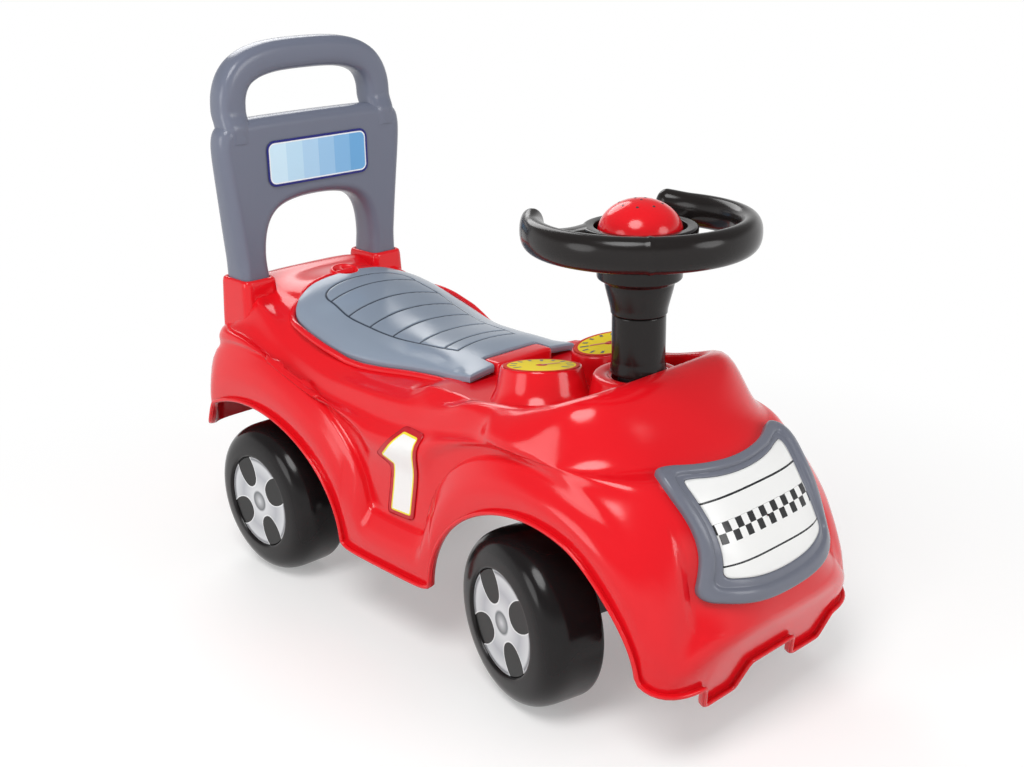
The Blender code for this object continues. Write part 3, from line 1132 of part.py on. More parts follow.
def make_axle_set(prefix, axle_y, parent):
    """An axle with its two wheels, discs and push nuts. It stands at axle_y under its parent."""
    tip = WHEEL_OUTER - DISC_INSET - DISC_THICK - 0.0015
    floor = WHEEL_OUTER - RECESS_DEPTH
    axle = cylinders(f"{prefix}_axle", [((-tip, 0, 0), (1, 0, 0), AXLE_RADIUS, 2 * tip)], 16)
    smooth(axle)
    rod = node(f"{prefix}_axle", axle, STEEL, parent)
    rod.location = (0, axle_y, WHEEL_RADIUS)
    rubber = turned(f"{prefix}_wheel", wheel_profile(), WHEEL_STEPS, closed=True)
    disc_top = WHEEL_OUTER - DISC_INSET
    disc = turned(f"{prefix}_disc", ((0, disc_top), (RECESS_RADIUS - GAP, disc_top),
                                     (RECESS_RADIUS - GAP, disc_top - DISC_THICK), (0, disc_top - DISC_THICK)),
                  WHEEL_STEPS)
    bore = AXLE_RADIUS + GAP / 3
    nut = turned(f"{prefix}_nut", ((0, tip + 0.0008), (NUT_RADIUS * 0.6, tip + 0.0008),
                                   (NUT_RADIUS, tip - 0.0010), (NUT_RADIUS, floor + GAP), (bore, floor + GAP),
                                   (bore, tip + 0.0001), (0, tip + 0.0001)), 16)
    half_step = math.pi / WHEEL_STEPS
    for side, tag in ((-1, "right"), (1, "left")):
        spin = bpy.data.objects.new(f"{prefix}_{tag}_spin", None)
        parts.objects.link(spin)
        spin.parent = parent
        spin.location = (0, axle_y, WHEEL_RADIUS)
        spin.rotation_mode = "ZYX"
        spin.rotation_euler = (0, side * math.pi / 2, half_step)
        node(f"{prefix}_wheel_{tag}", rubber.copy(), BLACK, spin)
        node(f"{prefix}_wheel_disc_{tag}", disc.copy(), SILVER, spin)
        node(f"{prefix}_push_nut_{tag}", nut.copy(), STEEL, spin)


make_body()
make_lid()
make_tray()
make_backrest()
make_grille()
make_numbers()
make_gauges()
steering_axis = make_steering()
make_bearings()
make_rear_brackets()
make_axle_set("front", 0.0, steering_axis)
make_axle_set("rear", REAR_AXLE_Y, None)
bpy.context.view_layer.update()
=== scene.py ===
import math

import bmesh
import bpy
import numpy as np
from mathutils import Matrix, Vector
from mathutils.geometry import delaunay_2d_cdt


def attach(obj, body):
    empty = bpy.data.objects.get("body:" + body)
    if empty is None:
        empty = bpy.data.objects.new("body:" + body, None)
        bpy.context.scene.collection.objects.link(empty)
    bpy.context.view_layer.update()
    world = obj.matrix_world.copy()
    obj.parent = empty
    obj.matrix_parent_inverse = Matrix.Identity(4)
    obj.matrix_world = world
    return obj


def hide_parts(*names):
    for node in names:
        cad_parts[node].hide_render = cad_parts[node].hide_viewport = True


# Foot-to-floor ride-on car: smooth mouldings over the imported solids, in metres, front along -Y
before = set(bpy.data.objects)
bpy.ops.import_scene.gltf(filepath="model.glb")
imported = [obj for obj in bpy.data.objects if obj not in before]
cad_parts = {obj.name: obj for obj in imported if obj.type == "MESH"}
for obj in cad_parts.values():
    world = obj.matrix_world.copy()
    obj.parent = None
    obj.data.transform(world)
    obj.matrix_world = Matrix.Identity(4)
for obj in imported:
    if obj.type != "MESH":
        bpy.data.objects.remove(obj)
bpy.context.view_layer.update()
print("frame loaded", len(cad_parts), "nodes")

steerRest = math.radians(-12.2)     # the front wheels and the steering wheel rest turned this far
steerY = -0.151


# Shared curves and grids
def ease(u):
    # 3u^2 - 2u^3 between 0 and 1
    u = np.clip(u, 0.0, 1.0)
    return u * u * (3 - 2 * u)


def curveThrough(points, at):
    # cubic through points of place and value, with harmonic-mean slopes so it doesn't overshoot
    x, y = np.array(points, float).T
    slope = np.diff(y) / np.diff(x)
    tangent = np.zeros_like(y)
    same = slope[:-1] * slope[1:] > 0
    mean = 2 * slope[:-1] * slope[1:] / np.where(same, slope[:-1] + slope[1:], 1.0)
    tangent[1:-1] = np.where(same, mean, 0.0)
    at = np.clip(np.asarray(at, float), x[0], x[-1])
    k = np.clip(np.searchsorted(x, at) - 1, 0, len(slope) - 1)
    width = x[k + 1] - x[k]
    u = (at - x[k]) / width
    return (y[k] * (1 + 2 * u) * (1 - u) ** 2 + y[k + 1] * u * u * (3 - 2 * u)
            + width * (tangent[k] * u * (1 - u) ** 2 - tangent[k + 1] * u * u * (1 - u)))


def softRamp(u, rounding=0.12):
    # 0 to 1 in a straight line with rounded ends: half the difference of two hyperbolas
    return (np.sqrt(u * u + rounding ** 2) - np.sqrt((u - 1) ** 2 + rounding ** 2) + 1) / 2


def gridFaces(rows, cols, closeRows=False, closeCols=False):
    # four corners of every cell of a grid, as one array
    i = np.arange(rows if closeRows else rows - 1)[:, None]
    j = np.arange(cols if closeCols else cols - 1)[None, :]
    i2, j2 = (i + 1) % rows, (j + 1) % cols
    corners = [i * cols + j, i * cols + j2, i2 * cols + j2, i2 * cols + j]
    return np.stack([c + 0 * (i + j) for c in corners], -1).reshape(-1, 4)


def meshFrom(name, points, faces):
    mesh = bpy.data.meshes.new(name)
    points = np.ascontiguousarray(points, np.float32).reshape(-1, 3)
    faces = np.ascontiguousarray(faces, np.int32)
    mesh.vertices.add(len(points))
    mesh.vertices.foreach_set("co", points.ravel())
    mesh.loops.add(faces.size)
    mesh.loops.foreach_set("vertex_index", faces.ravel())
    mesh.polygons.add(len(faces))
    mesh.polygons.foreach_set("loop_start", np.arange(0, faces.size, faces.shape[1], dtype=np.int32))
    mesh.update(calc_edges=True)
    return mesh


def setField(mesh, name, values):
    # one number for each vertex, which a material can read
    values = np.asarray(values, np.float32).ravel()
    mesh.attributes.new(name, "FLOAT", "POINT").data.foreach_set("value", values)


def weld(mesh, outward=True, distance=1e-6):
    bm = bmesh.new()
    bm.from_mesh(mesh)
    bmesh.ops.remove_doubles(bm, verts=bm.verts, dist=distance)
    if outward:
        bmesh.ops.recalc_face_normals(bm, faces=bm.faces)
    bm.to_mesh(mesh)
    bm.free()
    return mesh


def addPiece(name, mesh, finish, body, stands=(), sharp=32):
    mesh.shade_smooth()
    mesh.set_sharp_from_angle(angle=math.radians(sharp))
    obj = bpy.data.objects.new(name, mesh)
    bpy.context.scene.collection.objects.link(obj)
    mesh.materials.append(finish)
    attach(obj, body)
    if stands:
        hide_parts(*stands)
    return obj


def addWall(obj, thickness):
    wall = obj.modifiers.new("wall", "SOLIDIFY")
    wall.thickness = thickness
    wall.offset = -1.0
    wall.use_even_offset = False
    return obj


def roundedLine(points, radii, steps=5):
    # a polyline whose inner corners become arcs: a quadratic from one cut point to the other
    points = np.array(points, float)
    out = [points[:1]]
    for i in range(1, len(points) - 1):
        before, here, after = points[i - 1], points[i], points[i + 1]
        reach = radii[i] if np.ndim(radii) else radii
        a = min(reach, 0.48 * np.linalg.norm(before - here)) / max(np.linalg.norm(before - here), 1e-9)
        b = min(reach, 0.48 * np.linalg.norm(after - here)) / max(np.linalg.norm(after - here), 1e-9)
        start, end = here + (before - here) * a, here + (after - here) * b
        t = np.linspace(0, 1, steps)[:, None]
        out.append(start * (1 - t) ** 2 + here * 2 * t * (1 - t) + end * t * t)
    out.append(points[-1:])
    return np.concatenate(out)


def roundedLoop(points, passes=2):
    # corner cutting: each side keeps its middle half
    loop = np.asarray(points, float)
    for _ in range(passes):
        ahead = np.roll(loop, -1, axis=0)
        cut = np.stack([0.75 * loop + 0.25 * ahead, 0.25 * loop + 0.75 * ahead], 1)
        loop = cut.reshape(-1, loop.shape[1])
    return loop


def evenLoop(points, count):
    # the same closed line with evenly spaced points
    closed = np.vstack([points, points[:1]])
    along = np.concatenate([[0], np.cumsum(np.linalg.norm(np.diff(closed, axis=0), axis=1))])
    at = np.linspace(0, along[-1], count, endpoint=False)
    return np.stack([np.interp(at, along, closed[:, k]) for k in range(closed.shape[1])], -1)


def loopNormals(loop):
    # outward normals of a closed flat line that runs anticlockwise
    ahead = np.roll(loop, -1, axis=0) - np.roll(loop, 1, axis=0)
    ahead /= np.linalg.norm(ahead, axis=1, keepdims=True)
    return np.stack([ahead[:, 1], -ahead[:, 0]], -1)


def turnedMesh(name, profile, steps=96, closed=False):
    # a profile of radius and height turned about Z, with its poles welded
    profile = np.array(profile, float)
    angle = np.arange(steps) * 2 * math.pi / steps
    r, z = profile[:, :1], profile[:, 1:]
    points = np.stack([r * np.cos(angle), r * np.sin(angle), z + 0 * angle], -1)
    return weld(meshFrom(name, points, gridFaces(len(profile), steps, closed, True)))


def place(mesh, matrix):
    mesh.transform(matrix)
    return mesh


def steered(points):
    # turned to the steering's rest angle about its column
    c, s = math.cos(steerRest), math.sin(steerRest)
    points = np.asarray(points, float)
    x, y, z = points[..., 0], points[..., 1], points[..., 2]
    return np.stack([c * x - s * y, s * x + c * y + steerY, z], -1)


def steerMesh(mesh):
    co = np.empty(len(mesh.vertices) * 3)
    mesh.vertices.foreach_get("co", co)
    mesh.vertices.foreach_set("co", steered(co.reshape(-1, 3)).ravel())
    mesh.update()
    return mesh


# Materials
def newMaterial(name):
    mat = bpy.data.materials.new(name)
    mat.use_nodes = True
    nodes = mat.node_tree.nodes
    return mat, nodes, mat.node_tree.links, nodes["Principled BSDF"]


def mouldGrainGroup():
    # moulded plastic: slow waviness, fine orange peel and faint scuffs, from noise in Object coordinates
    group = bpy.data.node_groups.new("mouldGrain", "ShaderNodeTree")
    face = group.interface
    for label, value in (("Waviness", 0.02), ("Peel", 0.02), ("Scuff", 0.05), ("Gloss", 0.2)):
        face.new_socket(label, in_out="INPUT", socket_type="NodeSocketFloat").default_value = value
    face.new_socket("Roughness", in_out="OUTPUT", socket_type="NodeSocketFloat")
    face.new_socket("Height", in_out="OUTPUT", socket_type="NodeSocketFloat")
    face.new_socket("Shade", in_out="OUTPUT", socket_type="NodeSocketFloat")
    nodes, links = group.nodes, group.links
    start, end = nodes.new("NodeGroupInput"), nodes.new("NodeGroupOutput")
    coords = nodes.new("ShaderNodeTexCoord")

    def noise(scale, detail):
        made = nodes.new("ShaderNodeTexNoise")
        made.inputs["Scale"].default_value = scale
        made.inputs["Detail"].default_value = detail
        links.new(coords.outputs["Object"], made.inputs["Vector"])
        return made.outputs["Fac"]

    def maths(operation, *values):
        made = nodes.new("ShaderNodeMath")
        made.operation = operation
        for socket, value in zip(made.inputs, values):
            if isinstance(value, (int, float)):
                socket.default_value = value
            else:
                links.new(value, socket)
        return made.outputs[0]

    slow, fine, scuffs, blotch = noise(14, 2), noise(420, 2), noise(95, 5), noise(5, 3)
    height = maths("ADD", maths("MULTIPLY", slow, start.outputs["Waviness"]),
                   maths("MULTIPLY", fine, start.outputs["Peel"]))
    worn = maths("MULTIPLY", maths("SUBTRACT", scuffs, 0.5), start.outputs["Scuff"])
    links.new(height, end.inputs["Height"])
    links.new(maths("ADD", start.outputs["Gloss"], worn), end.inputs["Roughness"])
    links.new(blotch, end.inputs["Shade"])
    return group


mouldGrain = mouldGrainGroup()


def plastic(name, colour, gloss, waviness=0.02, peel=0.02, scuff=0.06, shift=0.06, level=0.4):
    # glossy moulding: the colour drifts a little and the grain group breaks up its shine
    mat, nodes, links, shader = newMaterial(name)
    grain = nodes.new("ShaderNodeGroup")
    grain.node_tree = mouldGrain
    for label, value in (("Waviness", waviness), ("Peel", peel), ("Scuff", scuff), ("Gloss", gloss)):
        grain.inputs[label].default_value = value
    tone = nodes.new("ShaderNodeMix")
    tone.data_type = "RGBA"
    tone.inputs["A"].default_value = (*[c * (1 - shift) for c in colour], 1)
    tone.inputs["B"].default_value = (*[min(c * (1 + shift), 1) for c in colour], 1)
    links.new(grain.outputs["Shade"], tone.inputs["Factor"])
    links.new(tone.outputs["Result"], shader.inputs["Base Color"])
    links.new(grain.outputs["Roughness"], shader.inputs["Roughness"])
    bump = nodes.new("ShaderNodeBump")
    bump.inputs["Strength"].default_value = 0.35
    bump.inputs["Distance"].default_value = 0.002
    links.new(grain.outputs["Height"], bump.inputs["Height"])
    links.new(bump.outputs["Normal"], shader.inputs["Normal"])
    shader.inputs["Specular IOR Level"].default_value = level
    return mat


def printed(name, colour, gloss, peel=0.005, scuff=0.05, shift=0.01, level=0.4):
    # a smooth printed plate
    return plastic(name, colour, gloss, waviness=0.01, peel=peel, scuff=scuff, shift=shift, level=level)


def paint(mat, colour):
    # a colour worked out by nodes goes to the material's base colour
    mat.node_tree.links.new(colour, mat.node_tree.nodes["Principled BSDF"].inputs["Base Color"])
    return mat


def fieldRamp(mat, field, stops, low, high, interpolation="LINEAR"):
    # colours along a vertex field, from its value low to its value high
    nodes, links = mat.node_tree.nodes, mat.node_tree.links
    read = nodes.new("ShaderNodeAttribute")
    read.attribute_name = field
    span = nodes.new("ShaderNodeMapRange")
    span.inputs["From Min"].default_value = low
    span.inputs["From Max"].default_value = high
    links.new(read.outputs["Fac"], span.inputs["Value"])
    ramp = nodes.new("ShaderNodeValToRGB")
    ramp.color_ramp.interpolation = interpolation
    band = ramp.color_ramp.elements
    while len(band) > 1:
        band.remove(band[-1])
    band[0].position, band[0].color = (stops[0][0] - low) / (high - low), (*stops[0][1], 1)
    for at, colour in stops[1:]:
        band.new((at - low) / (high - low)).color = (*colour, 1)
    links.new(span.outputs["Result"], ramp.inputs["Fac"])
    return ramp.outputs["Color"]


def tintOver(mat, under, over, fac):
    nodes, links = mat.node_tree.nodes, mat.node_tree.links
    mix = nodes.new("ShaderNodeMix")
    mix.data_type = "RGBA"
    for value, label in ((under, "A"), (over, "B"), (fac, "Factor")):
        if isinstance(value, tuple):
            mix.inputs[label].default_value = (*value, 1)
        else:
            links.new(value, mix.inputs[label])
    return mix.outputs["Result"]


redTone, slateTone, lidTone = (0.745, 0.0065, 0.013), (0.150, 0.166, 0.222), (0.250, 0.300, 0.375)
redMould = plastic("redMould", redTone, 0.15, waviness=0.05, peel=0.006, scuff=0.05, shift=0.05)
slateMould = plastic("slateMould", slateTone, 0.24, waviness=0.04, scuff=0.10)
lidMould = plastic("lidMould", lidTone, 0.20, waviness=0.05, peel=0.01, scuff=0.10)
blackMould = plastic("blackMould", (0.013, 0.0108, 0.0104), 0.18, 0.05, 0.03, 0.10, level=0.26)
tyreMould = plastic("tyreMould", (0.0095, 0.0080, 0.0084), 0.17, 0.07, 0.02, 0.14, level=0.24)
darkMould = plastic("darkMould", (0.030, 0.030, 0.032), 0.42, peel=0.08)
softVinyl = plastic("softVinyl", (0.72, 0.70, 0.62), 0.45, peel=0.05)


def zincSteel():
    mat, nodes, links, shader = newMaterial("zincSteel")
    shader.inputs["Base Color"].default_value = (0.56, 0.56, 0.58, 1)
    shader.inputs["Metallic"].default_value = 1.0
    grain = nodes.new("ShaderNodeGroup")
    grain.node_tree = mouldGrain
    grain.inputs["Gloss"].default_value = 0.28
    grain.inputs["Scuff"].default_value = 0.22
    links.new(grain.outputs["Roughness"], shader.inputs["Roughness"])
    return mat


zinc = zincSteel()
print("materials made")


# Body shell: rings from the lower edge up to the seat opening, each with its half width, front, rear and the
# squareness of its front and rear corners
shell = {
    "rings": {
        "edge": (0.1205, -0.2830, 0.2955, 7.5, 11.5), "flank": (0.1210, -0.2898, 0.2962, 6.3, 10.3),
        "crease": (0.1122, -0.2970, 0.2955, 4.1, 9.3), "panel": (0.1111, -0.2970, 0.2935, 3.7, 8.0),
        "middle": (0.1124, -0.2710, 0.2915, 2.6, 7.5), "hood": (0.1112, -0.2453, 0.2892, 2.95, 6.7),
        "shoulder": (0.1135, -0.2325, 0.2875, 2.65, 6.0), "rim": (0.0960, -0.1770, 0.2830, 3.3, 4.0),
        "rimInner": (0.0897, -0.1725, 0.2620, 4.0, 3.6), "foot": (0.0842, -0.1695, 0.2240, 4.0, 3.3),
        "opening": (0.0660, 0.0040, 0.2000, 6.0, 6.0)},
    "waist": {
        "shoulder": ((-0.120, 1.0), (-0.060, 0.935), (0.030, 0.895), (0.150, 0.925)),
        "rim": ((-0.120, 0.95), (-0.050, 1.0), (0.120, 1.0), (0.200, 0.95), (0.240, 0.90)),
        "rimInner": ((-0.120, 0.95), (-0.050, 1.0), (0.120, 1.0), (0.200, 0.95), (0.240, 0.90)),
        "foot": ((-0.120, 0.958), (-0.020, 1.0), (0.150, 1.0), (0.200, 0.95)),
        "opening": ((0.020, 0.80), (0.060, 0.88), (0.100, 1.0), (0.150, 1.06))},
    "cornerFront": -0.120, "cornerRear": 0.170,
    "sillZ": 0.066, "bumperZ": 0.061, "rearEdgeZ": 0.122,
    "frontArch": (-0.1512, 0.1053, 0.1110, 0.0986), "rearArch": (0.2066, 0.1300, 0.1240, 0.0970),
    "archFillet": 0.0111, "noseFillet": 0.0280,
    "creaseZ": 0.1008,
    "frontFlare": (-0.1297, 0.1455, 0.1047, 0.0953), "rearFlare": (0.2222, 0.1693, 0.1339, 0.1040),
    "doorRecess": 0.0045, "tabX": (0.0261, 0.0350, 0.0690, 0.0764), "tabDrop": 0.0210,
    "shoulderZ": ((-0.2325, 0.2066), (-0.180, 0.2070), (-0.110, 0.2080), (-0.040, 0.1960), (0.040, 0.1860),
                  (0.110, 0.1880), (0.160, 0.1980), (0.200, 0.2100), (0.240, 0.2180), (0.287, 0.2190)),
    "rimZ": ((-0.1770, 0.2533), (-0.165, 0.2495), (-0.1345, 0.2385), (-0.1024, 0.2305), (-0.065, 0.2255),
             (-0.035, 0.2150), (0.000, 0.2080), (0.050, 0.2045), (0.105, 0.2040), (0.160, 0.2125),
             (0.200, 0.2280), (0.235, 0.2450), (0.265, 0.2560), (0.283, 0.2585)),
    "cornerDrop": 0.012, "floorZ": 0.2225, "ledgeDrop": 0.0034, "ledgeWidth": 0.006,
    "wall": 0.0025, "lipOut": 0.003,
    "rowCounts": (3, 4, 4, 6, 9, 5, 4, 9, 5, 6, 9, 2, 2), "columns": 236,
}
lid = {
    "front": -0.0255, "rear": 0.2125, "drop": 0.0046, "rollRoom": 0.0024, "wall": 0.0040,
    "width": ((-0.0255, 0.0602), (0.000, 0.0603), (0.020, 0.0609), (0.040, 0.0627), (0.060, 0.0660),
              (0.080, 0.0704), (0.100, 0.0755), (0.120, 0.0800), (0.140, 0.0827), (0.158, 0.0829),
              (0.175, 0.0812), (0.190, 0.0765), (0.203, 0.0640), (0.210, 0.0460), (0.2125, 0.0260)),
    "roll": ((-0.0255, 0.0), (0.0, 0.0042), (0.04, 0.0060), (0.14, 0.0064), (0.18, 0.0045), (0.212, 0.0015)),
    "rungs": ((0.0496, 0.173), (0.0524, 0.144), (0.0492, 0.118), (0.0450, 0.0915), (0.0393, 0.0624),
              (0.0357, 0.0341), (0.0329, 0.0199)),
    "rearCurveY": 0.195, "rungBow": 0.004, "grooveHalf": 0.0011, "grooveDepth": 0.0008, "edgeRound": 0.0018,
}


def rollShare(x, y):
    # 0 on the middle plane, rising with the sixth power to 1 at the lid's side edge
    return np.clip(np.abs(x) / np.maximum(curveThrough(lid["width"], y), 0.058), 0, 1) ** 6


def seatZ(x, y):
    # dished along the car and crowned across it, with rolled side edges
    middle = 0.236 + 0.028 * ease((y - 0.06) / 0.17) - 0.0025 * ease((0.02 - y) / 0.05)
    crown = np.interp(y, [lid["front"], 0.10, 0.23], [0.0075, 0.0134, 0.0160])
    return middle - crown * (x / 0.08) ** 2 - curveThrough(lid["roll"], y) * rollShare(x, y)


def surroundZ(x, y):
    underLid = seatZ(x, y) - lid["drop"] - lid["rollRoom"] * rollShare(x, y)
    return shell["floorZ"] + (underLid - shell["floorZ"]) * ease((y + 0.010) / 0.030)


def archRise(y, form, frontFillet, fillet):
    # half an ellipse over each wheel, met by the sill in a rounded corner
    centre, forward, back, height = form
    fillet = np.interp(y, [centre - 0.05, centre + 0.05], [frontFillet, fillet])
    reach = np.where(y < centre, forward, back)
    u = np.abs(y - centre) / reach
    rise = np.where(u < 1, height * np.sqrt(np.clip(1 - u * u, 0, 1)), -2 * reach * (u - 1))
    return (rise + np.sqrt(rise ** 2 + fillet ** 2)) / 2


def tabDrop(x, y):
    a, b, c, d = shell["tabX"]
    tab = softRamp((np.abs(x) - a) / (b - a)) - softRamp((np.abs(x) - c) / (d - c))
    return shell["tabDrop"] * np.clip(tab, 0, 1) * ease((-0.255 - y) / 0.012)


def edgeZ(x, y):
    rise = (archRise(y, shell["frontArch"], shell["noseFillet"], shell["archFillet"])
            + archRise(y, shell["rearArch"], shell["archFillet"], shell["archFillet"]))
    base = shell["sillZ"] + (shell["bumperZ"] - shell["sillZ"]) * ease((-0.19 - y) / 0.05)
    back = ease((y - 0.268) / 0.022)
    return (base + rise) * (1 - back) + shell["rearEdgeZ"] * back


def creaseHeight(y):
    fillet = shell["archFillet"]
    front, rear = (archRise(y, shell[flare], fillet, fillet) for flare in ("frontFlare", "rearFlare"))
    return shell["creaseZ"] + np.maximum(front, rear)


def ringPlan(ring, turn):
    # half of a ring from above: superellipse front corner (turn 0 to 1), side (to 2) and rear corner (to 3)
    half, front, rear, bowFront, bowRear = shell["rings"][ring]
    start, end = max(shell["cornerFront"], front + 0.02), min(shell["cornerRear"], rear - 0.02)
    a, b = np.clip(turn, 0, 1) * math.pi / 2, np.clip(turn - 2, 0, 1) * math.pi / 2
    sinA, cosA, sinB, cosB = np.sin(a), np.abs(np.cos(a)), np.sin(b), np.abs(np.cos(b))
    reachA = (sinA ** bowFront + cosA ** bowFront) ** (-1 / bowFront)
    reachB = (sinB ** bowRear + cosB ** bowRear) ** (-1 / bowRear)
    x = np.where(turn <= 1, half * reachA * sinA, np.where(turn <= 2, half, half * reachB * cosB))
    y = np.where(turn <= 1, start + (front - start) * reachA * cosA,
                 np.where(turn <= 2, start + (end - start) * (turn - 1), end + (rear - end) * reachB * sinB))
    if ring in shell["waist"]:
        x = x * curveThrough(shell["waist"][ring], y)
    return x, y


def doorShare(y):
    return ease((y + 0.20) / 0.12) * ease((0.24 - y) / 0.12)


def shellRings(turn):
    rows = []
    for ring in shell["rings"]:
        x, y = ringPlan(ring, turn)
        edge, crease = edgeZ(x, y), creaseHeight(y)
        shoulder = curveThrough(shell["shoulderZ"], y)
        rim = curveThrough(shell["rimZ"], y)
        rim = rim - shell["cornerDrop"] * (x / shell["rings"][ring][0]) ** 6 * ease((y - 0.215) / 0.05)
        share = ease((y + 0.060) / 0.050) * (1 - 0.55 * ease((y - 0.20) / 0.05))
        z = {"edge": edge, "flank": edge + 0.5 * (crease - edge), "crease": crease, "panel": crease + 0.004,
             "middle": crease + 0.004 + 0.55 * (shoulder - crease - 0.004),
             "hood": crease + 0.004 + 0.88 * (shoulder - crease - 0.004), "shoulder": shoulder, "rim": rim,
             "rimInner": rim + 0.0005 + share * 0.62 * (surroundZ(x, y) - rim),
             "foot": surroundZ(x, y), "opening": surroundZ(x, y)}[ring]
        if ring in ("panel", "middle"):
            x = x - shell["doorRecess"] * doorShare(y) * ease((x - 0.06) / 0.04)
        rows.append(np.stack([x, y, z], -1))
    out = np.gradient(rows[0][:, :2], axis=0)
    out /= np.linalg.norm(out, axis=1, keepdims=True) + 1e-12
    wall = rows[0] - rows[1]
    wall /= np.maximum(-wall[:, 2:], 0.004)         # the tabs go on down the slope of the wall above them
    rows[0] = rows[0] + wall * tabDrop(rows[0][:, 0], rows[0][:, 1])[:, None]
    lip = rows[0] + np.stack([shell["lipOut"] * np.maximum(out[:, 1], 0), -shell["lipOut"] * out[:, 0],
                              np.full(len(turn), -0.0004)], -1)
    lip[[0, -1], 0] = 0.0
    down = rows[-1] - np.array([0, 0, shell["ledgeDrop"]])
    half, front, rear = shell["rings"]["opening"][:3]
    middle = (front + rear) / 2
    ledge = down * np.array([(half - shell["ledgeWidth"]) / half, 1, 1])
    ledge[:, 1] = middle + (ledge[:, 1] - middle) * (1 - 2 * shell["ledgeWidth"] / (rear - front))
    return np.array([lip] + rows + [down, ledge])


def rowsBetween(keys, counts, sharpRings):
    # cubic rows between rings; slopes are shared across a ring unless it is sharp
    gaps = np.linalg.norm(np.diff(keys, axis=0), axis=2)[..., None] + 1e-9
    slopes = np.diff(keys, axis=0) / gaps
    rows = [keys[0]]
    for k, count in enumerate(counts):
        start, end = slopes[k], slopes[k]
        if k > 0 and k not in sharpRings:
            start = (slopes[k - 1] * gaps[k] + slopes[k] * gaps[k - 1]) / (gaps[k] + gaps[k - 1])
        if k + 1 < len(slopes) and k + 1 not in sharpRings:
            end = (slopes[k] * gaps[k + 1] + slopes[k + 1] * gaps[k]) / (gaps[k] + gaps[k + 1])
        for i in range(1, count + 1):
            u = i / count
            rows.append(keys[k] * (1 + 2 * u) * (1 - u) ** 2 + keys[k + 1] * u * u * (3 - 2 * u)
                        + gaps[k] * (start * u * (1 - u) ** 2 - end * u * u * (1 - u)))
    return np.array(rows)


def shellColumns():
    # places round the outline: close together across the skirt tabs, wider along the sides
    turn = np.linspace(0, 3, 3000)
    x, y = ringPlan("edge", turn)
    path = np.stack([x, y, edgeZ(x, y) - tabDrop(x, y)], -1)
    length = np.concatenate([[0], np.cumsum(np.linalg.norm(np.diff(path, axis=0), axis=1))])
    spacing = np.where((y < -0.26) & (x < 0.090), 0.45, 1.0)
    weight = np.concatenate([[0], np.cumsum(np.diff(length) / spacing[1:])])
    return np.interp(np.linspace(0, weight[-1], shell["columns"]), weight, turn)


def shellSurface():
    # both sides of the outer skin, as rows that close on themselves
    keys = shellRings(shellColumns())
    counts = shell["rowCounts"]
    creased = rowsBetween(keys, counts, (1, 3, 4, 10, 11, 12))
    flowing = rowsBetween(keys, counts, (1, 10, 11, 12))
    share = doorShare(keys[3][:, 1])[None, :, None]
    rows = flowing + (creased - flowing) * share
    first, last = sum(counts[:3]), sum(counts[:4])      # the step of the door recess takes an S shape
    for i in range(first + 1, last):
        u = (i - first) / (last - first)
        stepShare = np.array([ease(u), ease(u), u])
        rows[i] = rows[i] + (keys[3] + (keys[4] - keys[3]) * stepShare - rows[i]) * share[0]
    first = sum(counts[:10])
    for i in range(first + 1, sum(counts[:11])):
        u = (i - first) / counts[10]
        rows[i] = keys[10] + (keys[11] - keys[10]) * u
        rows[i, :, 2] = surroundZ(rows[i, :, 0], rows[i, :, 1])
    return np.concatenate([rows, rows[:, -2:0:-1] * np.array([-1.0, 1.0, 1.0])], axis=1)


skin = shellSurface()
bodyMesh = meshFrom("bodyShellSkin", skin, gridFaces(*skin.shape[:2], closeCols=True))
bodyShell = addPiece("bodyShellSkin", bodyMesh, redMould, "car", stands=["body_shell"], sharp=40)
addWall(bodyShell, shell["wall"])
print("body skin", skin.shape)


def sweepTube(name, path, radius, sides=10, closed=True):
    # a round section carried along a path, square to it
    ahead = (np.roll(path, -1, 0) - np.roll(path, 1, 0)) if closed else np.gradient(path, axis=0)
    ahead /= np.linalg.norm(ahead, axis=1, keepdims=True)
    side = np.cross(ahead, (0, 0, 1))
    side /= np.linalg.norm(side, axis=1, keepdims=True)
    up = np.cross(side, ahead)
    angle = np.arange(sides) * 2 * math.pi / sides
    radius = np.broadcast_to(radius, len(path))[:, None, None]
    points = (path[:, None] + radius * np.cos(angle)[None, :, None] * side[:, None]
              + radius * np.sin(angle)[None, :, None] * up[:, None])
    return meshFrom(name, points, gridFaces(len(path), sides, closed, True))


lipBead = {"radius": 0.0017, "drop": 0.0006, "sides": 8}
lipPath = skin[0] - np.array([0, 0, lipBead["drop"]])
beadMesh = weld(sweepTube("bodyLipBead", lipPath, lipBead["radius"], lipBead["sides"]))
addPiece("bodyLipBead", beadMesh, redMould, "car", sharp=60)


# The body's own raised features
pod = {"x": 0.0395, "y": -0.0863, "z": 0.2471, "tilt": (0.113, 0.115),
       "top": 0.0320, "base": 0.0370, "dial": 0.0300}
boss = {"base": 0.0400, "top": 0.0345, "z": 0.2474, "bore": 0.0226}
socket = {"x": (0.0573, 0.0922), "y": (0.2448, 0.2885), "top": 0.2625, "root": 0.2060, "corner": 0.0070,
          "legX": (0.0598, 0.0892), "legY": (0.2480, 0.2853)}


def podMatrix(side):
    axis = Vector((-side * pod["tilt"][0], pod["tilt"][1], 1.0)).normalized()
    turn = axis.to_track_quat("Z", "Y").to_matrix().to_4x4()
    turn.translation = Vector((side * pod["x"], pod["y"], pod["z"]))
    return turn, axis.z


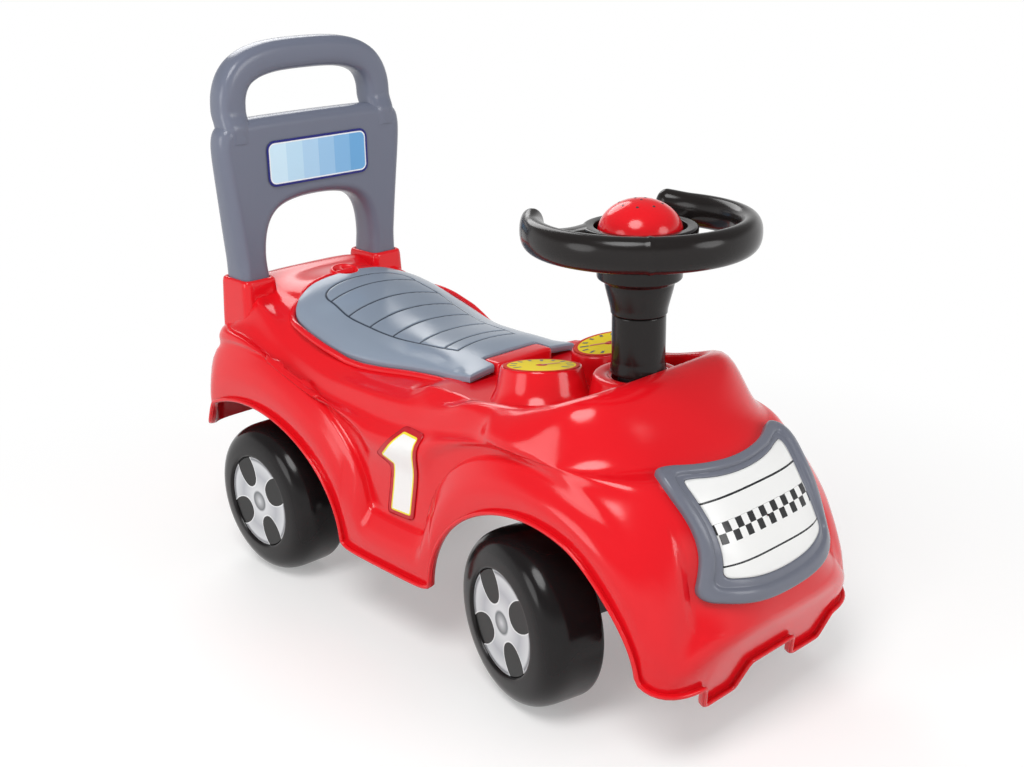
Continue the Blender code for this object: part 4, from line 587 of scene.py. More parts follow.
for side, tag in ((-1, "Right"), (1, "Left")):
    turn, lean = podMatrix(side)
    depth = (pod["z"] - shell["floorZ"]) / lean
    profile = [(0, -0.0003), (pod["dial"] + 0.0006, -0.0003), (pod["dial"] + 0.0009, 0.0002),
               (pod["top"] - 0.0008, 0.0003), (pod["top"], -0.0010),
               (pod["base"] - 0.0008, -depth + 0.0065), (pod["base"] + 0.0040, -depth - 0.0010),
               (pod["base"] + 0.0050, -depth - 0.0050)]
    mesh = turnedMesh("pod" + tag, roundedLine(profile, (0, .0003, .0003, .001, .0012, .006, .004, 0)), 96)
    addPiece("dialPod" + tag, place(mesh, turn), redMould, "car")

bossProfile = [(0.0199, boss["z"] - 0.020), (0.0199, boss["z"] - 0.0030), (boss["bore"], boss["z"] - 0.0026),
               (boss["bore"] + 0.0022, boss["z"] - 0.0003), (boss["top"] - 0.0040, boss["z"]),
               (boss["top"], boss["z"] - 0.0012),
               (boss["base"] - 0.0015, shell["floorZ"] + 0.0050),
               (boss["base"] + 0.0045, shell["floorZ"] - 0.0006),
               (boss["base"] + 0.0060, shell["floorZ"] - 0.0040)]
mesh = turnedMesh("columnBoss", roundedLine(bossProfile, 0.003), 96)
addPiece("columnBoss", place(mesh, Matrix.Translation((0, steerY, 0))), redMould, "car")


def roundedBox(lowX, highX, lowY, highY, corner, count=64):
    # a rectangle with quarter-circle corners, as an even loop
    angle = np.linspace(0, math.pi / 2, 7)
    arcs = []
    for k, (cx, cy) in enumerate(((highX, highY), (lowX, highY), (lowX, lowY), (highX, lowY))):
        centre = np.array([cx - corner * (1, -1, -1, 1)[k], cy - corner * (1, 1, -1, -1)[k]])
        a = angle + k * math.pi / 2
        arcs.append(centre + corner * np.stack([np.cos(a), np.sin(a)], -1))
    return evenLoop(np.concatenate(arcs), count)


def loftMesh(name, loops, capLast=False):
    # a skin through closed loops of equal count, with a fan over its end when asked
    if capLast:
        loops = loops + [np.repeat(loops[-1].mean(0)[None], len(loops[0]), 0)]
    points = np.array(loops)
    return weld(meshFrom(name, points, gridFaces(*points.shape[:2], closeCols=True)))


def atZ(loop, z):
    return np.column_stack([loop, np.full(len(loop), z)])


for side, tag in ((-1, "Right"), (1, "Left")):
    xs, ys, top = socket["x"], socket["y"], socket["top"]
    rows = []
    for grow, z, inner in ((0.0020, socket["root"], 0), (0.0016, 0.2250, 0), (0.0004, top - 0.0050, 0),
                           (0, top - 0.0022, 0), (-0.0004, top - 0.0008, 0), (-0.0014, top, 0),
                           (0, top, 1), (-0.0006, top - 0.0008, 1), (-0.0006, top - 0.0300, 1)):
        x0, x1 = (socket["legX"] if inner else xs)
        y0, y1 = (socket["legY"] if inner else ys)
        corner = socket["corner"] - (0.0015 if inner else 0)
        loop = roundedBox(x0 - grow, x1 + grow, y0 - grow, y1 + grow, corner)
        rows.append(atZ(loop * np.array([side, 1]), z))
    addPiece("legSocket" + tag, loftMesh("legSocket" + tag, rows), redMould, "car", sharp=40)


def seatRidge(offset, count):
    # the lid's outline moved out and closed round the rear, as a path on the surround
    y = np.linspace(-0.014, 0.2090, 90)
    x = curveThrough(lid["width"], y) + offset
    a = np.linspace(0, math.pi / 2, 24)[1:]
    endX, endY = x[-1], y[-1]
    rear = np.stack([endX * np.cos(a) ** 0.9, endY + (0.0060 + offset * 0.9) * np.sin(a)], -1)
    right = np.concatenate([np.stack([x, y], -1), rear])
    full = np.concatenate([right, right[-2::-1] * np.array([-1, 1])])
    full = roundedLine(full, 0.02, 3)
    along = np.concatenate([[0], np.cumsum(np.linalg.norm(np.diff(full, axis=0), axis=1))])
    at = np.linspace(0, along[-1], count)
    return np.interp(at, along, full[:, 0]), np.interp(at, along, full[:, 1])


ridge = {"offset": 0.0042, "count": 220, "radius": 0.0031, "lift": 0.0010, "endDrop": 0.004, "widest": 0.078}
ridgeX, ridgeY = seatRidge(ridge["offset"], ridge["count"])
ends = np.minimum(np.arange(ridge["count"]), np.arange(ridge["count"])[::-1])
ridgeZ = surroundZ(np.clip(np.abs(ridgeX), 0, ridge["widest"]), ridgeY) + ridge["lift"]
ridgeZ = ridgeZ - ridge["endDrop"] * (1 - ease(ends / 14))
ridgeRadius = ridge["radius"] * (0.25 + 0.75 * ease(ends / 10))
ridgeMesh = sweepTube("seatRidge", np.stack([ridgeX, ridgeY, ridgeZ], -1), ridgeRadius, 14, closed=False)
addPiece("seatRidge", ridgeMesh, redMould, "car", sharp=60)

block = {"halfWide": 0.0312, "y": (-0.0285, -0.0084), "corner": 0.0030}
blockRows = []
for shrink, z in ((0.0, 0.2200), (0.0, 0.2302), (0.0005, 0.2318), (0.0018, 0.2326), (0.0035, 0.2328)):
    half, (nearY, farY) = block["halfWide"] - shrink, block["y"]
    blockRows.append(atZ(roundedBox(-half, half, nearY + shrink, farY - shrink, block["corner"]), z))
addPiece("hingeBlock", loftMesh("hingeBlock", blockRows, capLast=True), redMould, "car", sharp=50)

dishProfile = [(0.0, -0.0062), (0.0070, -0.0058), (0.0098, -0.0030), (0.0112, 0.0004), (0.0126, 0.0012),
               (0.0142, 0.0004), (0.0152, -0.0020)]
dishMesh = turnedMesh("fingerDish", roundedLine(dishProfile, 0.002, 4), 64)
dishLean = 1.2 * math.atan(0.028 / 0.17)        # the seat rises 28 mm over its rear 170 mm
dishZ = float(surroundZ(0.0, lid["rear"])) + 0.0042
dishPlace = Matrix.Translation((0, lid["rear"] + 0.0035, dishZ)) @ Matrix.Rotation(dishLean, 4, "X")
addPiece("fingerDish", place(dishMesh, dishPlace), redMould, "car", sharp=60)
print("body features made")


# Seat lid with its engraved ladder
def ladderLines():
    # rungs bowed to the rear, rails through their ends, and a rounded curve behind the last rung
    lines = []
    s = np.linspace(-1, 1, 33)
    for x, y in lid["rungs"]:
        lines.append(np.stack([s * x, y + lid["rungBow"] * (1 - s * s)], -1))
    rungs = np.array(lid["rungs"])
    railY = np.linspace(rungs[-1, 1], rungs[0, 1], 60)
    railX = curveThrough([(y, x) for x, y in lid["rungs"][::-1]], railY)
    a = np.linspace(0, math.pi, 40)
    rear = np.stack([rungs[0, 0] * np.sign(np.cos(a)) * np.abs(np.cos(a)) ** 0.6,
                     rungs[0, 1] + (lid["rearCurveY"] - rungs[0, 1]) * np.sin(a) ** 0.8], -1)
    for side in (-1, 1):
        lines.append(np.stack([side * railX, railY], -1))
    return lines + [rear]


def lineDistance(x, y, lines):
    # smallest distance to any of the lines, segment by segment over the whole grid
    best = np.full(x.shape, 1.0)
    for line in lines:
        for (ax, ay), (bx, by) in zip(line[:-1], line[1:]):
            dx, dy = bx - ax, by - ay
            t = np.clip(((x - ax) * dx + (y - ay) * dy) / (dx * dx + dy * dy + 1e-12), 0, 1)
            best = np.minimum(best, np.hypot(x - ax - t * dx, y - ay - t * dy))
    return best


def lidPlan(across, down):
    # places on the lid: across runs -1 to 1, down runs 0 to 1 from the front edge; notched front and rear
    y = lid["front"] + down * (lid["rear"] - lid["front"])
    x = across * curveThrough(lid["width"], y)
    notch = softRamp((0.0325 - np.abs(x)) / 0.0012, 0.3)
    y = y + 0.0182 * np.clip(notch, 0, 1) * np.clip(1 - down / 0.16, 0, 1)
    finger = np.sqrt(np.clip(0.0118 ** 2 - x ** 2, 0, None))
    return x, y - np.clip(finger - 0.004, 0, 1) * np.clip((down - 0.88) / 0.12, 0, 1)


def lidTop(across, down, groove=True):
    x, y = lidPlan(across, down)
    width = curveThrough(lid["width"], lid["front"] + down * (lid["rear"] - lid["front"]))
    fromEnds = np.minimum(down, 1 - down) * (lid["rear"] - lid["front"])
    inset = np.minimum((1 - np.abs(across)) * width, fromEnds)
    r = lid["edgeRound"]
    dip = r - np.sqrt(np.clip(r * r - np.clip(r - inset, 0, r) ** 2, 0, None))
    z = seatZ(x, y) - dip
    cut = np.zeros_like(z)
    if groove:
        away = lineDistance(x, y, ladderLines()) / lid["grooveHalf"]
        cut = 1 - ease((away - 0.35) / 0.9)
    return np.stack([x, y, z - lid["grooveDepth"] * cut], -1), cut


def spacedOut(*stretches):
    # stretches of evenly spaced places, each given as start, end and count, without the shared ends
    return np.concatenate([np.linspace(*stretch)[:-1] for stretch in stretches])


closer = np.linspace(1, 0, 7) ** 1.6        # rows gather towards the lid's rounded edge
side = np.concatenate([spacedOut((0, 0.50, 18), (0.50, 0.66, 24), (0.66, 0.97, 10)), 1 - 0.03 * closer])
across = np.concatenate([-side[:0:-1], side])
down = np.concatenate([spacedOut((0, 0.012, 6), (0.012, 0.985, 330)), 1 - 0.015 * closer])
topPoints, cut = lidTop(across[None, :] + 0 * down[:, None], down[:, None] + 0 * across[None, :])
lidMesh = meshFrom("seatLidTop", topPoints[:, ::-1], gridFaces(len(down), len(across))[:, ::-1])
setField(lidMesh, "groove", cut[:, ::-1])
lidFinish = plastic("lidEngraved", lidTone, 0.19, waviness=0.05, peel=0.01, scuff=0.10)
base = lidFinish.node_tree.nodes["Principled BSDF"].inputs["Base Color"].links[0].from_socket
# painted shade in the engraved ladder: the lid turns near black where the groove cut is deep, standing in for
# the shade inside the grooves
grooveShadeStops = ((0.0, (0, 0, 0)), (0.35, (0.25, 0.25, 0.25)), (0.9, (1, 1, 1)))
grooveShadeMask = fieldRamp(lidFinish, "groove", grooveShadeStops, 0, 1)
paint(lidFinish, tintOver(lidFinish, base, (0.035, 0.045, 0.065), grooveShadeMask))
addPiece("seatLidTop", lidMesh, lidFinish, "lid", stands=["seat_lid"], sharp=60)

fewDown, fewAcross = np.linspace(0, 1, 61)[:, None], across[None, ::4]
under, _ = lidTop(fewAcross + 0 * fewDown, fewDown + 0 * fewAcross, groove=False)
ring = np.concatenate([np.stack([np.zeros(len(across)), across], -1),
                       np.stack([down[1:], np.ones(len(down) - 1)], -1),
                       np.stack([np.ones(len(across) - 1), across[-2::-1]], -1),
                       np.stack([down[-2:0:-1], -np.ones(len(down) - 2)], -1)])
rimTop, _ = lidTop(ring[:, 1], ring[:, 0], groove=False)
inward = rimTop.copy()
inward[:, :2] += (np.array([[0, 0.10]]) - rimTop[:, :2]) * 0.004
lidDown = np.array([0, 0, lid["wall"]])
skirt = np.array([rimTop, rimTop - 0.5 * lidDown, rimTop - 0.85 * lidDown, inward - lidDown])
skirtMesh = meshFrom("seatLidEdge", skirt, gridFaces(*skirt.shape[:2], closeCols=True)[:, ::-1])
addPiece("seatLidEdge", skirtMesh, lidMould, "lid", sharp=60)
underMesh = meshFrom("seatLidUnder", under - lidDown, gridFaces(*under.shape[:2])[:, ::-1])
addPiece("seatLidUnder", underMesh, lidMould, "lid")
print("seat lid made")


# Rounded plates for the backrest, and thin sheets for the printed labels
def smoothLoop(points, count):
    return evenLoop(roundedLoop(points), count)


def fillLoop(loop, extra=None):
    # triangles inside a closed flat line, through extra points where given
    count = len(loop)
    flat = loop if extra is None else np.concatenate([loop, extra])
    edges = [(i, (i + 1) % count) for i in range(count)]
    out = delaunay_2d_cdt([Vector(p) for p in flat.tolist()], edges, [list(range(count))], 0, 1e-7)
    corners, faces = np.array([tuple(p) for p in out[0]]), np.array(out[2])
    one, two = corners[faces[:, 1]] - corners[faces[:, 0]], corners[faces[:, 2]] - corners[faces[:, 0]]
    twiceArea = np.abs(one[:, 0] * two[:, 1] - one[:, 1] * two[:, 0])
    keep = twiceArea > 2e-9         # no slivers along straight edges
    return corners, faces[keep & insideLoop(corners[faces].mean(axis=1), loop)]


def halves(quads):
    # each cell of a grid as two triangles
    return np.concatenate([quads[:, [0, 1, 2]], quads[:, [0, 2, 3]]])


def insideLoop(points, loop):
    # odd count of crossings to the right of each point
    ahead = np.roll(loop, -1, axis=0)
    x, y = points[:, :1], points[:, 1:]
    spans = (loop[:, 1] > y) != (ahead[:, 1] > y)
    rise = np.where(ahead[:, 1] == loop[:, 1], 1e-12, ahead[:, 1] - loop[:, 1])
    cross = loop[:, 0] + (y - loop[:, 1]) * (ahead[:, 0] - loop[:, 0]) / rise
    return (spans & (x < cross)).sum(axis=1) % 2 == 1


def innerPoints(loop, edge=0.0008, spacing=0.005):
    # a ring just inside the outline and an even grid in the middle, so that flat faces shade flat
    ring = loop - loopNormals(loop) * edge
    low, high = loop.min(axis=0), loop.max(axis=0)
    x, z = np.meshgrid(*(np.arange(low[k], high[k], spacing) for k in (0, 1)))
    grid = np.column_stack([x.ravel(), z.ravel()])
    closed = [np.vstack([loop, loop[:1]])]
    keep = insideLoop(grid, loop) & (lineDistance(grid[:, 0], grid[:, 1], closed) > 2.5 * edge)
    ringKeep = insideLoop(ring, loop) & (lineDistance(ring[:, 0], ring[:, 1], closed) > 0.8 * edge)
    return np.concatenate([ring[ringKeep], grid[keep]])


def roundedPlate(name, loop, depth, radius, bend, steps=7):
    # a wall with quarter-circle edges front and back between flat fills; bend puts x, depth and z in place
    angle = np.linspace(0, math.pi / 2, steps)
    inset = np.concatenate([1 - np.sin(angle), (1 - np.sin(angle))[::-1]])
    back = np.concatenate([np.zeros(steps), np.ones(steps)])
    rise = np.concatenate([1 - np.cos(angle), -(1 - np.cos(angle))[::-1]])
    out, size = loopNormals(loop), radius(loop)[None, :, None]
    rows = loop[None] - out[None] * size * inset[:, None, None]
    deep = back[:, None, None] * depth + rise[:, None, None] * size
    wall = np.concatenate([rows[..., :1], deep, rows[..., 1:]], -1)
    points, faces = [wall.reshape(-1, 3)], [halves(gridFaces(len(rows), len(loop), closeCols=True))]
    inner = loop - out * radius(loop)[:, None]
    flat, tris = fillLoop(inner, innerPoints(inner))
    for y, order in ((0.0, [0, 1, 2]), (depth, [2, 1, 0])):
        faces.append(tris[:, order] + sum(len(p) for p in points))
        points.append(np.column_stack([flat[:, 0], np.full(len(flat), y), flat[:, 1]]))
    return weld(meshFrom(name, bend(np.concatenate(points)), np.concatenate(faces)), distance=2e-6)


backrest = {
    "front": 0.2488, "depth": 0.0260, "legExtra": 0.0097, "legX": (0.0602, 0.0888), "foot": 0.2300,
    "footRadius": 0.0022, "edgeRadius": 0.0098, "outlineCount": 420,
    "outer": ((0.0888, 0.2600), (0.0905, 0.2720), (0.0955, 0.320), (0.1003, 0.360), (0.1022, 0.380),
              (0.1018, 0.3920), (0.0990, 0.4000), (0.0930, 0.4052), (0.0820, 0.4075), (0.0600, 0.4088),
              (0.0300, 0.4090)),
    "arch": ((0.0602, 0.2600), (0.0600, 0.290), (0.0560, 0.308), (0.0490, 0.3190), (0.0380, 0.3260),
             (0.0200, 0.3298)),
    "handle": ((0.0818, 0.388), (0.0818, 0.420), (0.0806, 0.430), (0.0765, 0.4405), (0.0690, 0.4492),
               (0.0560, 0.4560), (0.0380, 0.4600), (0.0200, 0.4612), (0.0, 0.4614)),
    "handleWide": 0.0285, "handleDeep": 0.0275, "handleSetback": 0.0048,
    "labelX": 0.0570, "labelZ": (0.3450, 0.3870),
}


def backrestOutline():
    leg = [(backrest["legX"][0], backrest["foot"]), (backrest["legX"][1], backrest["foot"])]
    right = leg + list(backrest["outer"])
    arch = list(backrest["arch"])
    loop = right + [(0.0, 0.4092)] + [(-x, z) for x, z in right[::-1]]
    loop += [(-x, z) for x, z in arch] + [(0.0, 0.3308)] + arch[::-1]
    return smoothLoop(loop, backrest["outlineCount"])


def backrestBend(points):
    # legs are deeper than the panel; the front stays flat
    deep = backrest["legExtra"] * (1 - ease((points[:, 2] - 0.27) / 0.14))
    y = points[:, 1] * (1 + deep / backrest["depth"]) + backrest["front"]
    return np.column_stack([points[:, 0], y, points[:, 2]])


def backrestRadius(loop):
    # small at the feet, growing to the full edge radius above the sockets
    low, high = backrest["footRadius"], backrest["edgeRadius"]
    return low + (high - low) * ease((loop[:, 1] - 0.235) / 0.05)


panelMesh = roundedPlate("backrestPanel", backrestOutline(), backrest["depth"], backrestRadius, backrestBend)
addPiece("backrestPanel", panelMesh, slateMould, "car", stands=["backrest_frame"], sharp=50)


def handlePath(count=120):
    right = np.array(backrest["handle"])
    full = np.concatenate([right, right[-2::-1] * np.array([-1, 1])])
    full = roundedLine(full, 0.02, 6)
    along = np.concatenate([[0], np.cumsum(np.linalg.norm(np.diff(full, axis=0), axis=1))])
    at = np.linspace(0, along[-1], count)
    x, z = np.interp(at, along, full[:, 0]), np.interp(at, along, full[:, 1])
    return np.stack([x, z], -1)


def handleTube(sides=40):
    # a rounded rectangle carried round the loop: a small power of cosine and sine keeps its sides nearly flat
    path = handlePath()
    ahead = np.gradient(path, axis=0)
    ahead /= np.linalg.norm(ahead, axis=1, keepdims=True)
    out = np.stack([ahead[:, 1], -ahead[:, 0]], -1)
    angle = np.arange(sides) * 2 * math.pi / sides
    c, s = np.cos(angle), np.sin(angle)
    across = np.sign(c) * np.abs(c) ** 0.66 * backrest["handleWide"] / 2
    deep = np.sign(s) * np.abs(s) ** 0.66 * backrest["handleDeep"] / 2
    setback = backrest["handleSetback"] * ease((path[:, 1] - 0.400) / 0.016)
    y = backrest["front"] + backrest["depth"] / 2 + setback[:, None] * 0.999 + deep[None]
    x = path[:, :1] + out[:, :1] * across
    z = path[:, 1:] + out[:, 1:] * across
    return weld(meshFrom("pushHandle", np.stack([x, y, z], -1), gridFaces(len(path), sides, closeCols=True)))


addPiece("pushHandle", handleTube(), slateMould, "car", sharp=60)


# Printed panel on the backrest
def labelSheet():
    # rings from the outline inwards, with the distance from the edge as a field, round a flat middle
    half, (low, high) = backrest["labelX"], backrest["labelZ"]
    insets = np.array([0, 0.0004, 0.0012, 0.0018, 0.0024, 0.0030, 0.0036, 0.006, 0.010])
    count = 160
    loops = [roundedBox(-half + d, half - d, low + d, high - d, max(0.0085 - d, 0.0015), count)
             for d in insets]
    flat, middle = fillLoop(loops[-1])
    faces = np.concatenate([halves(gridFaces(len(loops), count, closeCols=True)), middle + count * len(loops)])
    x, z = np.concatenate(loops + [flat]).T
    mesh = meshFrom("backrestPrint", np.stack([x, np.full(len(x), backrest["front"] - 0.0009), z], -1), faces)
    setField(mesh, "inset", np.concatenate([np.repeat(insets, count), np.full(len(flat), insets[-1])]))
    return weld(mesh)


printBlue = printed("printBlue", (0.4, 0.6, 0.84), 0.30, scuff=0.06, shift=0.0)


def bandedLabel(mat):
    # six upright bands from pale to mid blue across X, a white line and a dark blue border
    nodes, links = mat.node_tree.nodes, mat.node_tree.links
    coords, split = nodes.new("ShaderNodeTexCoord"), nodes.new("ShaderNodeSeparateXYZ")
    links.new(coords.outputs["Object"], split.inputs[0])
    span = nodes.new("ShaderNodeMapRange")
    span.inputs["From Min"].default_value, span.inputs["From Max"].default_value = -0.054, 0.054
    links.new(split.outputs["X"], span.inputs["Value"])
    bands = nodes.new("ShaderNodeValToRGB")
    bands.color_ramp.interpolation = "CONSTANT"
    tones = ((0.62, 0.84, 0.97), (0.52, 0.76, 0.93), (0.43, 0.67, 0.89), (0.33, 0.58, 0.84),
             (0.23, 0.49, 0.79), (0.15, 0.41, 0.73))
    bands.color_ramp.elements[0].color = (*tones[0], 1)
    bands.color_ramp.elements.remove(bands.color_ramp.elements[1])
    for i, tone in enumerate(tones[1:], 1):
        bands.color_ramp.elements.new(i / len(tones)).color = (*tone, 1)
    links.new(span.outputs["Result"], bands.inputs["Fac"])
    border = fieldRamp(mat, "inset", ((0.0, (0, 0, 0)), (0.0034, (1, 1, 1))), 0, 0.006, "CONSTANT")
    rimTones = ((0.0, (0.006, 0.008, 0.17)), (0.0022, (0.86, 0.90, 0.93)))
    rim = fieldRamp(mat, "inset", rimTones, 0, 0.006, "CONSTANT")
    return paint(mat, tintOver(mat, rim, bands.outputs["Color"], border))


labelFinish = bandedLabel(printBlue)
label = addPiece("backrestPrint", labelSheet(), labelFinish, "car", stands=["backrest_label"])
addWall(label, 0.0004)
print("backrest made")


# The nose and the door panels as tables, so the bezel and the labels lie on them
def surfaceTable(columns, depthAxis, spanAxis, rows, spanAt, zAt):
    # each column gives the span and the depth at every height, and each height is read across the columns
    region = skin[rows[0]:rows[1]][:, columns].transpose(1, 0, 2)
    spans = np.array([np.interp(zAt, column[:, 2], column[:, spanAxis]) for column in region])
    depths = np.array([np.interp(zAt, column[:, 2], column[:, depthAxis]) for column in region])
    order = np.argsort(spans.mean(axis=1))
    return np.array([np.interp(spanAt, spans[order, k], depths[order, k]) for k in range(len(zAt))])


def readTable(table, spanAt, zAt, span, z):
    # bilinear reading
    i = np.clip((np.asarray(z) - zAt[0]) / (zAt[1] - zAt[0]), 0, len(zAt) - 1.001)
    j = np.clip((np.asarray(span) - spanAt[0]) / (spanAt[1] - spanAt[0]), 0, len(spanAt) - 1.001)
    a, b = i.astype(int), j.astype(int)
    u, v = i - a, j - b
    return ((table[a, b] * (1 - v) + table[a, b + 1] * v) * (1 - u)
            + (table[a + 1, b] * (1 - v) + table[a + 1, b + 1] * v) * u)


creaseRow = sum(shell["rowCounts"][:3])
shoulderRow = sum(shell["rowCounts"][:7])
noseColumns = np.flatnonzero(skin[creaseRow + 8, :, 1] < -0.13)
noseX, noseZ = np.linspace(-0.10, 0.10, 121), np.linspace(0.106, 0.216, 89)
noseTable = surfaceTable(noseColumns, 1, 0, (creaseRow, shoulderRow + 5), noseX, noseZ)


def onNose(x, z, lift):
    # a point of the nose moved out along its own normal, from the table's slopes
    def depth(x, z):
        return readTable(noseTable, noseX, noseZ, x, z)
    d = 0.005
    sx = (depth(x + d, z) - depth(x - d, z)) / (2 * d)
    sz = (depth(x, z + d) - depth(x, z - d)) / (2 * d)
    n = np.stack([sx, -np.ones_like(x), sz], -1)
    n /= np.linalg.norm(n, axis=-1, keepdims=True)
    return np.stack([x, depth(x, z), z], -1) + n * lift


grille = {
    "outer": ((-0.0635, 0.2068), (-0.036, 0.2040), (0.0, 0.2020), (0.036, 0.2040), (0.0635, 0.2068),
              (0.0708, 0.2035), (0.0712, 0.1955), (0.0680, 0.1800), (0.0670, 0.1600), (0.0710, 0.1430),
              (0.0755, 0.1320), (0.0710, 0.1260), (0.0620, 0.1240), (0.032, 0.1190), (0.0, 0.1175),
              (-0.032, 0.1190), (-0.0620, 0.1240), (-0.0710, 0.1260), (-0.0755, 0.1320), (-0.0710, 0.1430),
              (-0.0670, 0.1600), (-0.0680, 0.1800), (-0.0712, 0.1955), (-0.0708, 0.2035)),
    "inner": ((-0.0540, 0.2010), (-0.028, 0.1975), (0.0, 0.1960), (0.028, 0.1975), (0.0540, 0.2010),
              (0.0562, 0.1990), (0.0558, 0.1950), (0.0530, 0.1780), (0.0525, 0.1620), (0.0540, 0.1500),
              (0.0560, 0.1440), (0.0545, 0.1405), (0.0490, 0.1390), (0.026, 0.1350), (0.0, 0.1335),
              (-0.026, 0.1350), (-0.0490, 0.1390), (-0.0545, 0.1405), (-0.0560, 0.1440), (-0.0540, 0.1500),
              (-0.0525, 0.1620), (-0.0530, 0.1780), (-0.0558, 0.1950), (-0.0562, 0.1990)),
    "steps": ((0.0, -0.0035), (0.0, 0.0036), (0.03, 0.0052), (0.09, 0.0064), (0.17, 0.0068), (0.40, 0.0066),
              (0.52, 0.0062), (0.58, 0.0054), (0.61, 0.0042), (0.64, 0.0034), (0.70, 0.0033), (0.90, 0.0033),
              (0.95, 0.0030), (0.985, 0.0022), (1.0, 0.0010), (1.0, -0.0010)),
}
outerLoop, innerLoop = roundedLoop(grille["outer"], 3), roundedLoop(grille["inner"], 3)
rows = []
for share, lift in grille["steps"]:
    loop = outerLoop + (innerLoop - outerLoop) * share
    rows.append(onNose(loop[:, 0], loop[:, 1], lift))
bezelMould = plastic("bezelMould", (0.150, 0.160, 0.200), 0.24, waviness=0.03, peel=0.02, scuff=0.10)
bezelMesh = meshFrom("grilleBezel", np.array(rows), gridFaces(len(rows), len(outerLoop), closeCols=True))
addPiece("grilleBezel", weld(bezelMesh), bezelMould, "car", stands=["grille_frame"], sharp=55)

middle = innerLoop.mean(axis=0)
rows = [onNose(*(middle + (innerLoop - middle) * s).T, 0.0014) for s in np.linspace(0.999, 0.02, 26)]
plateMesh = meshFrom("grillePanel", np.array(rows), gridFaces(len(rows), len(innerLoop), closeCols=True))
panelPrint = printed("panelPrint", (0.85, 0.85, 0.84), 0.22, peel=0.004)


def panelPattern(mat):
    # white ground with two thin dark lines and a chequered band between them, by height and width
    nodes, links = mat.node_tree.nodes, mat.node_tree.links
    ground = nodes["Principled BSDF"].inputs["Base Color"].links[0].from_socket
    low, high = 0.130, 0.210
    coords, split = nodes.new("ShaderNodeTexCoord"), nodes.new("ShaderNodeSeparateXYZ")
    links.new(coords.outputs["Object"], split.inputs[0])
    span = nodes.new("ShaderNodeMapRange")
    span.inputs["From Min"].default_value, span.inputs["From Max"].default_value = low, high
    links.new(split.outputs["Z"], span.inputs["Value"])
    flat = nodes.new("ShaderNodeCombineXYZ")
    links.new(split.outputs["X"], flat.inputs["X"])
    links.new(split.outputs["Z"], flat.inputs["Y"])
    check = nodes.new("ShaderNodeTexChecker")
    check.inputs["Scale"].default_value = 1 / 0.0065
    check.inputs["Color1"].default_value = (0.022, 0.022, 0.024, 1)
    check.inputs["Color2"].default_value = (0.86, 0.86, 0.85, 1)
    links.new(flat.outputs[0], check.inputs["Vector"])

    def bands(edges):
        ramp = nodes.new("ShaderNodeValToRGB")
        ramp.color_ramp.interpolation = "CONSTANT"
        ramp.color_ramp.elements.remove(ramp.color_ramp.elements[1])
        ramp.color_ramp.elements[0].color = (0, 0, 0, 1)
        for i, z in enumerate(edges):
            tone = (i + 1) % 2
            ramp.color_ramp.elements.new((z - low) / (high - low)).color = (tone, tone, tone, 1)
        links.new(span.outputs["Result"], ramp.inputs["Fac"])
        return ramp.outputs["Color"]
    lined = tintOver(mat, ground, (0.025, 0.025, 0.028), bands((0.1480, 0.1492, 0.1880, 0.1892)))
    return paint(mat, tintOver(mat, lined, check.outputs["Color"], bands((0.1625, 0.1755))))


panel = addPiece("grillePanel", plateMesh, panelPattern(panelPrint), "car", stands=["grille_panel"])
addWall(panel, 0.0012)
print("grille made")

number = {"y": 0.0005, "lift": 0.0011, "spacing": 0.0018, "border": 0.0048, "corner": 0.0016,
          "digit": ((-0.0231, 0.1132), (0.0005, 0.1145), (0.0161, 0.1861), (-0.0044, 0.1854),
                    (-0.0218, 0.1668), (-0.0271, 0.1620), (-0.0134, 0.1571))}


def grownLoop(points, by):
    # every side of a closed shape moved out by the same distance, with mitred corners
    points = np.array(points)
    side = np.roll(points, -1, axis=0) - points
    side /= np.linalg.norm(side, axis=1, keepdims=True)
    after = np.stack([side[:, 1], -side[:, 0]], -1)
    before = np.roll(after, 1, axis=0)
    return points + by * (before + after) / (1 + (before * after).sum(axis=1, keepdims=True))


def roundLoop(points, reach, count):
    # a closed shape with its corners rounded over a short reach
    points = np.array(points)
    middle = (points[:1] + points[-1:]) / 2
    return evenLoop(roundedLine(np.concatenate([middle, points, middle]), reach, 8)[:-1], count)


